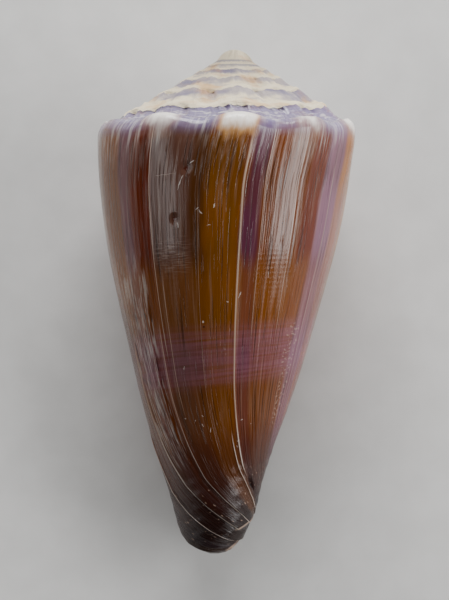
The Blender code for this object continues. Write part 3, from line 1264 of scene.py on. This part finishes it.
BANDS = (
    GrowthBand(-1.000, Shade.TAN),
    GrowthBand(-0.955, Shade.MAUVE),
    GrowthBand(-0.930, Shade.RED_BROWN),
    GrowthBand(-0.885, Shade.OLIVE_TAN),
    GrowthBand(-0.830, Shade.UMBER),
    GrowthBand(-0.805, Shade.MAUVE),
    GrowthBand(-0.765, Shade.TAN),
    GrowthBand(-0.700, Shade.RED_BROWN),
    GrowthBand(-0.655, Shade.SANDY),
    GrowthBand(-0.562, Shade.LILAC),
    GrowthBand(-0.524, Shade.RED_BROWN),
    GrowthBand(-0.494, Shade.RUST),
    GrowthBand(-0.432, Shade.PLUM),
    GrowthBand(-0.403, Shade.BURNT_ORANGE),
    GrowthBand(-0.394, Shade.OLIVE_GOLD),
    GrowthBand(-0.357, Shade.UMBER),
    GrowthBand(-0.334, Shade.GREY_MAUVE),
    GrowthBand(-0.281, Shade.RED_BROWN),
    GrowthBand(-0.247, Shade.MAUVE),
    GrowthBand(-0.222, Shade.OLIVE_TAN),
    GrowthBand(-0.135, Shade.TAN),
    GrowthBand(-0.095, Shade.RED_BROWN),
    GrowthBand(-0.070, Shade.LILAC),
    GrowthBand(-0.030, Shade.SANDY),
)


class Limit(Enum):
    """Masks that limit a coat to one part of the shell."""

    LINES = "pale growth lines"
    CRUST = "chalky crust of the spire"
    WHORL = "last turn, which has no crust"


@dataclass(frozen=True)
class Coat:
    """One layer of colour, full where all that is said of its place holds.

    Args:
        shade: Its colour.
        strength: How much of the colour shows where it is full.
        turns: Growth lines that it covers, in turns, with the fade in mm.
        depths: Depths that it covers, in mm.
        knobs: Heights of the nodules that it covers.
        patterns: Patches or streaks that break it up.
        limits: Parts of the shell that it stays on.
        dullness: How chalky it makes the gloss, from 0 to 1.
    """

    shade: Shade
    strength: float
    turns: Span | None = None
    depths: Span | None = None
    knobs: Span | None = None
    patterns: tuple[Pattern, ...] = ()
    limits: tuple[Limit, ...] = ()
    dullness: float = 0.0


# Past the front end, so that a span up to here has no lower edge.
END = 60.0

GOLD = Span(-0.405, -0.352, 0.6)
BODY = Span(9.0, 38.0, 2.0)
SHOULDER_DOWN = Span(5.8, END, 1.4)

# Cracks between growth lines are about 0.02 mm wide; they are drawn 0.13 mm wide, so that they show.
HAIR_CRACKS = Pattern((0.13, 7.0), 0.58, 0.66, 1.0)

# Colours over the bands, lowest first. The sizes of their patterns follow the photograph, in mm.
COATS = (
    # Streaks and warm tones of the body.
    Coat(Shade.DARK_PLUM, 0.35, depths=BODY, patterns=(Pattern((0.5, 14.0), 0.56, 0.8),)),
    Coat(Shade.GLOW, 0.8, GOLD, patterns=(Pattern((1.1, 9.0), 0.42, 0.62),)),
    Coat(Shade.UMBER, 0.3, depths=BODY, patterns=(Pattern((5.0, 7.0), 0.42, 0.62),)),
    Coat(Shade.GLOW, 0.62, depths=Span(20.0, 24.3, 2.6)),
    Coat(Shade.WARM_BROWN, 0.6, depths=Span(29.0, 33.5, 1.6)),
    Coat(Shade.DEEP_BROWN, 0.8, depths=Span(35.0, 40.0, 3.5)),
    # Lilac haze across the back and down its right side.
    Coat(Shade.HAZE, 0.68, depths=Span(25.2, 28.0, 1.8), patterns=(Pattern((9.0, 0.3), 0.1, 0.7),)),
    Coat(Shade.LILAC, 0.45, Span(-0.60, -0.53, 0.8), Span(15.0, 35.0, 4.0)),
    Coat(Shade.PALE_LINE, 0.12, depths=BODY, patterns=(Pattern((0.34, 9.0), 0.56, 0.72),)),
    Coat(Shade.DEEP_BROWN, 0.55, Span(-0.19, -0.10, 1.5), Span(24.0, 40.0, 6.0)),
    Coat(Shade.CRACK_AND_SHADOW, 0.5, depths=BODY, patterns=(HAIR_CRACKS,)),
    # Chalky rib and its cracks, and beside it a pale cross hatch that is painted highlight where the left
    # lamp's reflection ends.
    Coat(
        Shade.CHALK_AND_HIGHLIGHT,
        0.38,
        Span(-0.257, -0.200, 0.5),
        Span(20.5, 33.0, 4.0),
        patterns=(Pattern((0.20, 2.4), 0.48, 0.64, 4.0),),
        dullness=0.8,
    ),
    Coat(
        Shade.CRACK_AND_SHADOW,
        0.6,
        Span(-0.262, -0.205, 0.2),
        Span(22.0, 34.0, 2.0),
        patterns=(Pattern((0.14, 1.3), 0.57, 0.64),),
    ),
    # Painted highlight: a pale cross hatch at the lower end of the left lamp's reflection.
    Coat(
        Shade.PALE_LINE,
        0.22,
        Span(-0.325, -0.298, 1.2),
        Span(17.4, 18.4, 1.6),
        patterns=(Pattern((1.3, 0.1), 0.5, 0.62, 1.0),),
    ),
    # Dark front end with an ember in it, pale growth lines, and the old and the new rim.
    Coat(Shade.DARK_PLUM, 0.8, depths=Span(39.0, END, 6.5), dullness=0.12),
    Coat(Shade.NIGHT_PLUM, 0.8, depths=Span(42.0, END, 4.0)),
    Coat(Shade.BURNT_ORANGE, 0.3, Span(-0.385, -0.350, 1.6), Span(33.0, 40.5, 3.0)),
    Coat(Shade.PALE_LINE, 0.85, limits=(Limit.LINES,)),
    Coat(Shade.CHALK_AND_HIGHLIGHT, 0.55, depths=Span(35.0, END, 4.0), limits=(Limit.LINES,)),
    Coat(Shade.PALE_LINE, 0.6, Span(-0.36, -0.205, 1.0), Span(42.4, 42.5, 0.10)),
    Coat(Shade.PALE_LINE, 0.7, depths=Span(44.5, 44.8, 0.25), patterns=(Pattern((2.0, 2.0), 0.3, 0.6),)),
    # Pale grains on the cords, in groups, and crumbs along a growth line on the right.
    Coat(
        Shade.PALE_LINE,
        0.6,
        depths=Span(38.0, END, 1.5),
        patterns=(Pattern((0.5, 0.4), 0.66, 0.74, 1.0), Pattern((4.0, 3.0), 0.42, 0.56, 1.0)),
    ),
    Coat(
        Shade.PALE_LINE,
        0.32,
        Span(-0.535, -0.505, 0.2),
        Span(25.0, 33.0, 1.5),
        patterns=(Pattern((0.45, 0.22), 0.56, 0.68, 1.0),),
    ),
    # Violet ramp with painted highlights, pale streaks below the shoulder, painted shadow in the seam under
    # the spire, and the nodules, whose white tops are partly pale wear and partly painted highlight.
    Coat(Shade.SLATE_VIOLET, 0.85, depths=Span(0.0, 6.4, 1.7), patterns=(Pattern((2.4, 0.5), 0.0, 0.55),)),
    # Painted highlights: chalk-white glints in patches on the ramp below the crest.
    Coat(
        Shade.CHALK_AND_HIGHLIGHT,
        0.4,
        depths=Span(4.6, 6.2, 0.7),
        patterns=(Pattern((1.1, 0.3), 0.5, 0.66),),
        limits=(Limit.WHORL,),
    ),
    Coat(
        Shade.CHALK_AND_HIGHLIGHT,
        0.30,
        depths=Span(6.6, 7.6, 3.2),
        patterns=(Pattern((0.24, 3.0), 0.45, 0.7, 4.0), Pattern((3.6, 9.0), 0.40, 0.55, 1.0)),
    ),
    Coat(Shade.ROSE_TAN, 0.4, depths=SHOULDER_DOWN, knobs=Span(0.70, 3.0, 0.38)),
    Coat(Shade.HONEY, 0.5, GOLD, SHOULDER_DOWN, Span(0.75, 3.0, 0.4)),
    # Painted shadow: dark plum in patches along the seam where the last turn's ramp meets the spire.
    Coat(
        Shade.NIGHT_PLUM,
        0.75,
        depths=Span(3.5, 3.9, 0.3),
        patterns=(Pattern((3.0, 9.0), 0.4, 0.6),),
        limits=(Limit.WHORL,),
    ),
    # White tops of the nodules: partly pale wear, partly painted highlight.
    Coat(Shade.CHALK_AND_HIGHLIGHT, 0.95, depths=SHOULDER_DOWN, knobs=Span(1.08, 3.0, 0.5)),
    # Cream spire with violet-grey painted shade in its seams and hollows, and honey stains.
    Coat(Shade.CREAM, 1.0, limits=(Limit.CRUST,)),
    # Painted shade: violet-grey in the seams and hollows between the spire's whorls.
    Coat(Shade.SLATE_VIOLET, 0.6, depths=Span(3.5, 4.3, 0.7), limits=(Limit.CRUST,)),
    Coat(
        Shade.SLATE_VIOLET,
        0.75,
        depths=Span(3.6, 5.2, 0.6),
        patterns=(Pattern((3.4, 0.9, 3.4), 0.46, 0.66),),
        limits=(Limit.CRUST,),
    ),
    Coat(Shade.HONEY, 0.6, patterns=(Pattern((2.6, 1.2, 2.6), 0.52, 0.72),), limits=(Limit.CRUST,)),
)

# How much of each colour of mark shows, lowest first.
MARK_STRENGTHS = (
    (Shade.PALE_LINE, 0.4),
    (Shade.CHIP, 0.85),
    (Shade.CRACK_AND_SHADOW, 0.85),
    (Shade.CHALK_AND_HIGHLIGHT, 0.5),
)


@dataclass
class Chart:
    """Where a point of the outside lies, as the sockets that masks are made from. Sizes are in mm.

    Args:
        board: Node tree to add to.
        uneven: Pattern that makes the white of the nodules uneven.
        unevenness: How much it adds to their height.
        line_fade: Distance over which a growth line fades at its ends.
        rim_fade: The same where it stops at the old rim.
        rim_gap: How far short of its depth it ends.
        mark_scale: Size of a mark before its ragged edge.
        mark_edges: Distances from its middle, in its own size, where a mark is gone and where it is full.
        ragged: How far the noise pushes a mark's edge.
        ragged_frequency: Waves of that noise in a mm.
    """

    board: Board
    uneven: Pattern = Pattern((0.9, 1.4), 0.2, 0.75)
    unevenness: float = 0.3
    line_fade: float = 2.0
    rim_fade: float = 0.3
    rim_gap: float = 0.1
    mark_scale: float = 0.8
    mark_edges: tuple[float, float] = (1.15, 0.75)
    ragged: float = 0.2
    ragged_frequency: float = 4.0

    def __post_init__(self) -> None:
        """Reads the two UV maps and makes the masks that coats are limited by."""
        board = self.board
        self.place = board.add("ShaderNodeUVMap", {}, uv_map="growth")
        relief = board.add("ShaderNodeUVMap", {}, uv_map="relief")
        self.along = board.add("ShaderNodeSeparateXYZ", {0: self.place})
        self.down = self.along.node.outputs[1]
        bump = board.add("ShaderNodeSeparateXYZ", {0: relief})
        self.crust = bump.node.outputs[1]
        whole = board.add("ShaderNodeTexCoord", {}, "Object")
        self.solid = board.add("ShaderNodeVectorMath", {0: whole, 3: 1 / MM}, operation="SCALE")
        rough = {0: board.patches(self.place, self.uneven), 1: self.unevenness, 2: bump}
        self.knob = board.add("ShaderNodeMath", rough, operation="MULTIPLY_ADD")
        whorl = board.add("ShaderNodeMath", {0: 1.0, 1: self.crust}, operation="SUBTRACT")
        self.limits = {Limit.LINES: self.growth_lines(), Limit.CRUST: self.crust, Limit.WHORL: whorl}

    def growth_lines(self) -> Socket:
        """Mask of all pale growth lines; one that has a step stops short at the old rim.

        Returns:
            The mask.
        """
        board, lines = self.board, []
        for line in GROWTH_LINES:
            at = line.turn * TURN_LENGTH
            fade = self.rim_fade if line.step else self.line_fade
            near = board.between(self.along, Span(at, at, line.colour_width / 2))
            begun = board.between(self.down, Span(line.start, END, self.line_fade))
            ended = board.between(self.down, Span(0.0, line.end - self.rim_gap, fade))
            lines.append(board.product(near, begun, ended))
        return board.union(*lines)

    def cover(self, coat: Coat) -> Socket:
        """Mask of a coat.

        Args:
            coat: Coat to place.

        Returns:
            The mask, 1 where the coat is full.
        """
        board = self.board
        parts = [self.limits[limit] for limit in coat.limits]
        if coat.turns:
            low, high = coat.turns.low * TURN_LENGTH, coat.turns.high * TURN_LENGTH
            parts.append(board.between(self.along, Span(low, high, coat.turns.soft)))
        if coat.depths:
            parts.append(board.between(self.down, coat.depths))
        if coat.knobs:
            parts.append(board.between(self.knob, coat.knobs))
        for pattern in coat.patterns:
            place = self.solid if len(pattern.sizes) == 3 else self.place
            parts.append(board.patches(place, pattern))
        return board.product(*parts)

    def marks(self, shade: Shade) -> Socket:
        """Mask of all marks of one colour, with slightly ragged edges.

        Args:
            shade: Colour that is wanted.

        Returns:
            The mask.
        """
        board, spots = self.board, []
        noisy = {"Vector": self.place, "Scale": self.ragged_frequency, "Detail": 2.0}
        push = board.add("ShaderNodeTexNoise", noisy, 1)
        moved = {0: push, 1: (self.ragged, self.ragged, 0.0), 2: self.place}
        pushed = board.add("ShaderNodeVectorMath", moved, operation="MULTIPLY_ADD")
        # The noise pushes by half its reach on average, which the marks' places make good.
        shift = self.ragged / 2
        for mark in (mark for mark in MARKS if mark.shade is shade):
            size = (self.mark_scale * mark.half_width, self.mark_scale * mark.half_height, 1.0)
            frame_of_mark = {
                "Vector": pushed,
                "Location": (mark.turn * TURN_LENGTH + shift, mark.depth + shift, 0.0),
                "Rotation": (0.0, 0.0, math.radians(mark.lean_deg)),
                "Scale": size,
            }
            local = board.add("ShaderNodeMapping", frame_of_mark, vector_type="TEXTURE")
            flat = board.add("ShaderNodeVectorMath", {0: local, 1: (1.0, 1.0, 0.0)}, operation="MULTIPLY")
            away = board.add("ShaderNodeVectorMath", {0: flat}, "Value", operation="LENGTH")
            ends = {"Value": away, "From Min": self.mark_edges[0], "From Max": self.mark_edges[1]}
            spots.append(board.add("ShaderNodeMapRange", ends, interpolation_type="SMOOTHSTEP"))
        return board.union(*spots)


@dataclass(frozen=True)
class WornShell:
    """Outside of a beach-worn cone shell: layered aragonite, grown as thin wedges along the lip.

    To the eye it is brown and violet bands along the growth lines under a silky gloss that breaks into
    fine upright streaks, with dull chalk on the spire and on the rib. Depths of the bump are in mm.

    Aragonite's index of refraction is 1.53 to 1.69, so 1.6. Its polished layers have a roughness of about
    0.1, scuffed ones about 0.3, and chalk about 0.7. The shine is below the usual 0.5, as the worn surface
    scatters part of it.
    """

    ior: float = 1.6
    shine: float = 0.32
    roughness: float = 0.11
    streak_roughness: float = 0.28
    chalk_roughness: float = 0.72
    band_fade: float = 0.006
    wander: float = 0.7
    wander_frequency: tuple[float, float, float] = (0.5, 0.09, 1.0)
    gloss_streaks: Pattern = Pattern((0.3, 6.0), 0.4, 0.7)
    # Striae are about 0.1 mm wide and are drawn 0.28 mm wide, so that they show.
    striae: Pattern = Pattern((0.28, 12.0), 0.3, 0.7, 3.0)
    # Chalk grains are about 0.02 mm across and are drawn 0.12 mm across.
    chalk_grains: Pattern = Pattern((0.12, 0.12), 0.3, 0.7, 3.0)
    # Spiral threads are about 0.2 mm apart and are drawn 0.42 mm apart.
    thread_spacing: float = 0.42
    stria_depth: float = 0.010
    crack_depth: float = -0.012
    thread_depth: float = 0.0006
    chalk_depth: float = 0.07

    def build(self) -> bpy.types.Material:
        """Builds the material.

        Returns:
            The material, with its nodes.
        """
        material = bpy.data.materials.new("worn_shell_outside")
        material.use_nodes = True
        board = Board(material.node_tree)
        chart = Chart(board)
        surface = material.node_tree.nodes["Principled BSDF"]
        surface.inputs["IOR"].default_value = self.ior
        surface.inputs["Specular IOR Level"].default_value = self.shine
        colour, dull = self.colour(chart)
        board.tree.links.new(colour, surface.inputs["Base Color"])
        board.tree.links.new(self.gloss(chart, dull), surface.inputs["Roughness"])
        board.tree.links.new(self.relief(chart, dull), surface.inputs["Normal"])
        return material

    def bands(self, chart: Chart) -> Socket:
        """Coloured bands along the growth lines, whose edges wander a little.

        Args:
            chart: Where a point lies.

        Returns:
            The colour.
        """
        board = chart.board
        scaled = board.add(
            "ShaderNodeVectorMath", {0: chart.place, 1: self.wander_frequency}, operation="MULTIPLY"
        )
        drift = board.add("ShaderNodeTexNoise", {"Vector": scaled, "Scale": 1.0, "Detail": 3.0})
        reach = {"Value": drift, "To Min": -self.wander, "To Max": self.wander}
        shift = board.add("ShaderNodeMapRange", reach)
        moved = board.add("ShaderNodeMath", {0: chart.along, 1: shift}, operation="ADD")
        turn = board.add("ShaderNodeMapRange", {"Value": moved, "From Min": -TURN_LENGTH, "From Max": 0.0})
        stops = [(0.0, BANDS[0].shade.rgba())]
        for before, band in zip(BANDS, BANDS[1:]):
            edge = 1 + band.start
            stops.append((edge - self.band_fade / 2, before.shade.rgba()))
            stops.append((edge + self.band_fade / 2, band.shade.rgba()))
        # A colour ramp holds at most 32 stops, so the turn is shared between two.
        half = len(stops) // 2
        older = board.add("ShaderNodeValToRGB", {0: turn}, stops=stops[: half + 1])
        younger = board.add("ShaderNodeValToRGB", {0: turn}, stops=stops[half:])
        split = board.add("ShaderNodeMath", {0: turn, 1: stops[half][0]}, operation="GREATER_THAN")
        mixed = {0: split, 6: older, 7: younger}
        return board.add("ShaderNodeMix", mixed, 2, data_type="RGBA")

    def colour(self, chart: Chart) -> tuple[Socket, Socket]:
        """Colour of the outside.

        Args:
            chart: Where a point lies.

        Returns:
            The colour, and the mask of what is chalky.
        """
        board, layers, dull = chart.board, [], [chart.crust]
        for coat in COATS:
            cover = chart.cover(coat)
            layers.append((coat.shade.rgba(), board.product(cover, coat.strength)))
            if coat.dullness:
                dull.append(board.product(cover, coat.dullness))
        for shade, strength in MARK_STRENGTHS:
            layers.append((shade.rgba(), board.product(chart.marks(shade), strength)))
        return board.layered(self.bands(chart), layers), board.union(*dull)

    def gloss(self, chart: Chart, dull: Socket) -> Socket:
        """Roughness: silky, rougher in streaks, and dull where it is chalky.

        Args:
            chart: Where a point lies.
            dull: Mask of what is chalky.

        Returns:
            The roughness.
        """
        board = chart.board
        streaks = board.patches(chart.place, self.gloss_streaks)
        ends = {"Value": streaks, "To Min": self.roughness, "To Max": self.streak_roughness}
        streaked = board.add("ShaderNodeMapRange", ends)
        return board.add("ShaderNodeMix", {0: dull, 2: streaked, 3: self.chalk_roughness})

    def relief(self, chart: Chart, dull: Socket) -> Socket:
        """Bump: upright striae, hair cracks, spiral threads and the grain of the chalk.

        Args:
            chart: Where a point lies.
            dull: Mask of what is chalky.

        Returns:
            The bent normal.
        """
        board = chart.board
        turned = {0: chart.down, 1: 2 * math.pi / self.thread_spacing}
        bands = board.add("ShaderNodeMath", turned, operation="MULTIPLY")
        heights = (
            (board.patches(chart.place, self.striae), self.stria_depth, 1.0),
            (board.patches(chart.place, HAIR_CRACKS), self.crack_depth, 1.0),
            (board.add("ShaderNodeMath", {0: bands}, operation="SINE"), self.thread_depth, 1.0),
            (board.patches(chart.place, self.chalk_grains), self.chalk_depth, dull),
        )
        normal = {}
        for height, deep, strength in heights:
            inputs = {"Height": height, "Distance": deep * MM, "Strength": strength, **normal}
            normal = {"Normal": board.add("ShaderNodeBump", inputs)}
        return normal["Normal"]


@dataclass(frozen=True)
class Porcelain:
    """Inside of the shell: smooth, dense aragonite that the animal polished.

    To the eye it is a pale violet porcelain, darker deep inside. Its index of refraction is aragonite's for
    light across its layers, 1.56, and its roughness that of glazed ware gone slightly dull, 0.2 to 0.34.
    """

    ior: float = 1.56
    roughness: float = 0.2
    stain_roughness: float = 0.34
    stain_strength: float = 0.4
    throat: Span = Span(-300.0, -18.0, 14.0)
    stains: Pattern = Pattern((3.0, 9.0), 0.45, 0.65)
    # Growth lines inside are about 0.1 mm wide and are drawn 0.5 mm wide, so that they show.
    lines: Pattern = Pattern((0.5, 20.0), 0.3, 0.7)
    line_depth: float = 0.01

    def build(self) -> bpy.types.Material:
        """Builds the material.

        Returns:
            The material, with its nodes.
        """
        material = bpy.data.materials.new("shell_inside")
        material.use_nodes = True
        board = Board(material.node_tree)
        surface = material.node_tree.nodes["Principled BSDF"]
        surface.inputs["IOR"].default_value = self.ior
        place = board.add("ShaderNodeUVMap", {}, uv_map="growth")
        along = board.add("ShaderNodeSeparateXYZ", {0: place})
        stains = board.patches(place, self.stains)
        layers = [
            (Shade.THROAT.rgba(), board.between(along, self.throat)),
            (Shade.LILAC.rgba(), board.product(stains, self.stain_strength)),
        ]
        colour = board.layered(Shade.PORCELAIN.rgba(), layers)
        board.tree.links.new(colour, surface.inputs["Base Color"])
        ends = {"Value": stains, "To Min": self.roughness, "To Max": self.stain_roughness}
        board.tree.links.new(board.add("ShaderNodeMapRange", ends), surface.inputs["Roughness"])
        lines = {"Height": board.patches(place, self.lines), "Distance": self.line_depth * MM}
        board.tree.links.new(board.add("ShaderNodeBump", lines), surface.inputs["Normal"])
        return material


@dataclass(frozen=True)
class MattCard:
    """Pale matt card of the floor, pressed from wood fibre.

    To the eye it is an even light grey with a faint mottle of fibre clumps about 1 mm across.
    """

    roughness: float = 0.8
    clumps_per_metre: float = 900.0
    shades: tuple[str, str] = ("C9C8C6", "CFCECC")
    edges: tuple[float, float] = (0.35, 0.65)

    def build(self) -> bpy.types.Material:
        """Builds the material.

        Returns:
            The material, with its nodes.
        """
        material = bpy.data.materials.new("matt_card")
        material.use_nodes = True
        board = Board(material.node_tree)
        surface = material.node_tree.nodes["Principled BSDF"]
        surface.inputs["Roughness"].default_value = self.roughness
        fibres = board.add("ShaderNodeTexNoise", {"Scale": self.clumps_per_metre, "Detail": 3.0})
        stops = [(edge, linear(shade)) for edge, shade in zip(self.edges, self.shades)]
        tone = board.add("ShaderNodeValToRGB", {0: fibres}, stops=stops)
        board.tree.links.new(tone, surface.inputs["Base Color"])
        return material


@dataclass
class Floor:
    """Plain pale floor: one round sheet of matt card, which curves up far from the shell.

    Sizes are in metres. A ring close inside the bend keeps the shading of the flat part even.
    """

    flat_radius: float = 0.9
    inner_share: float = 0.9
    curve_radius: float = 0.5
    wall_height: float = 0.6
    sides: int = 96
    curve_steps: int = 12

    def build(self) -> bpy.types.Object:
        """Builds the floor.

        Returns:
            The floor.
        """
        bm = bmesh.new()
        angles = np.linspace(0, 2 * math.pi, self.sides, endpoint=False)
        rings = []
        for radius, height in self.outline():
            spots = [(radius * math.cos(a), radius * math.sin(a), height) for a in angles]
            rings.append([bm.verts.new(spot) for spot in spots])
        bm.faces.new(rings[0])
        for low, high in zip(rings, rings[1:]):
            for i in range(self.sides):
                after = (i + 1) % self.sides
                bm.faces.new((high[i], high[after], low[after], low[i]))
        mesh = bpy.data.meshes.new("floor")
        bm.to_mesh(mesh)
        bm.free()
        mesh.shade_smooth()
        mesh.materials.append(MattCard().build())
        floor = bpy.data.objects.new("floor", mesh)
        bpy.context.scene.collection.objects.link(floor)
        return floor

    def outline(self) -> list[tuple[float, float]]:
        """Radius and height of each ring of the sheet, from the middle out.

        Returns:
            The rings.
        """
        rings = [(self.inner_share * self.flat_radius, 0.0), (self.flat_radius, 0.0)]
        for angle in np.linspace(0, math.pi / 2, self.curve_steps + 1)[1:]:
            reach = self.flat_radius + self.curve_radius * math.sin(angle)
            rings.append((reach, self.curve_radius * (1 - math.cos(angle))))
        rings.append((rings[-1][0], self.curve_radius + self.wall_height))
        return rings


@dataclass(frozen=True)
class SoftBox:
    """A lamp with a soft front, by its angles from the camera's line as seen from the shell.

    Args:
        name: Name of the lamp.
        right_deg: Angle to the right.
        up_deg: Angle up.
        width: Width in metres.
        height: Height in metres.
        power: Power in watts.
    """

    name: str
    right_deg: float
    up_deg: float
    width: float
    height: float
    power: float


@dataclass
class Studio:
    """Camera at the photograph's viewing angle, and soft lamps.

    The camera looks straight at the shell's back, so its directions are the shell's own axes at rest.
    Distances and the height of the frame are in metres, and the aim is in mm from the tip of the spire.
    """

    shell: Shell
    distance: float = 0.25
    frame_height: float = 0.048
    aim_depth: float = 20.0
    aim_left: float = -0.32
    roll_deg: float = 1.5
    sensor: float = 36.0
    clip: tuple[float, float] = (0.01, 20.0)
    lamp_distance: float = 0.32
    lamps: tuple[SoftBox, ...] = (
        SoftBox("lamp_left", -56.0, 3.0, 0.14, 0.26, 0.29),
        SoftBox("lamp_right", 61.0, 2.0, 0.155, 0.27, 1.15),
        SoftBox("lamp_top", -8.0, 76.0, 0.26, 0.14, 2.0),
    )
    ambient: float = 0.07
    ambient_shade: str = "E8EAEE"

    def __post_init__(self) -> None:
        """Finds the shell's own directions and the point that camera and lamps look at."""
        turned = self.shell.turned().to_matrix()
        self.right = turned @ Vector((1, 0, 0))
        self.up = turned @ Vector((0, 0, 1))
        self.towards = turned @ Vector((0, -1, 0))
        tip = Vector(self.shell.tip_at) * MM
        self.aim = tip - self.up * self.aim_depth * MM + self.right * self.aim_left * MM

    def build(self) -> None:
        """Places the camera and the lamps, and lights the surroundings evenly."""
        self.camera()
        for box in self.lamps:
            self.lamp(box)
        world = bpy.data.worlds.new("studio")
        world.use_nodes = True
        back = world.node_tree.nodes["Background"]
        back.inputs["Color"].default_value = linear(self.ambient_shade)
        back.inputs["Strength"].default_value = self.ambient
        bpy.context.scene.world = world

    def camera(self) -> None:
        """Places the camera and makes it the scene's."""
        camera = bpy.data.cameras.new("camera")
        camera.sensor_width = self.sensor
        camera.lens = self.sensor * self.distance / self.frame_height
        camera.clip_start, camera.clip_end = self.clip
        viewer = bpy.data.objects.new("camera", camera)
        bpy.context.scene.collection.objects.link(viewer)
        spin = Matrix.Rotation(math.radians(self.roll_deg), 3, self.towards)
        basis = Matrix((spin @ self.right, spin @ self.up, self.towards)).transposed().to_4x4()
        viewer.matrix_world = Matrix.Translation(self.aim + self.towards * self.distance) @ basis
        bpy.context.scene.camera = viewer

    def lamp(self, box: SoftBox) -> None:
        """Hangs one lamp, facing the shell.

        Args:
            box: The lamp.
        """
        across, rise = math.radians(box.right_deg), math.radians(box.up_deg)
        flat = self.towards * math.cos(across) + self.right * math.sin(across)
        away = flat * math.cos(rise) + self.up * math.sin(rise)
        light = bpy.data.lights.new(box.name, "AREA")
        light.shape = "RECTANGLE"
        light.size, light.size_y = box.width, box.height
        light.energy = box.power
        lamp = bpy.data.objects.new(box.name, light)
        bpy.context.scene.collection.objects.link(lamp)
        side = self.up.cross(away).normalized()
        facing = Matrix((side, away.cross(side).normalized(), away)).transposed().to_4x4()
        lamp.matrix_world = Matrix.Translation(self.aim + away * self.lamp_distance) @ facing


def main() -> None:
    """Builds the shell, the floor and the studio, and reports each piece."""
    logging.basicConfig(level=logging.INFO, format="%(message)s")
    shell = Shell()
    piece = shell.build()
    piece.data.materials.clear()
    for finish in (WornShell(), Porcelain()):
        piece.data.materials.append(finish.build())
    piece.data.shade_smooth()
    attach(piece, "root")
    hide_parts("shell")
    LOG.info("%s: %d faces", piece.name, len(piece.data.polygons))
    floor = Floor().build()
    LOG.info("%s: plain pale floor", floor.name)
    studio = Studio(shell)
    studio.build()
    LOG.info("studio: camera and %d lamps", len(studio.lamps))


if __name__ == "__main__":
    main()
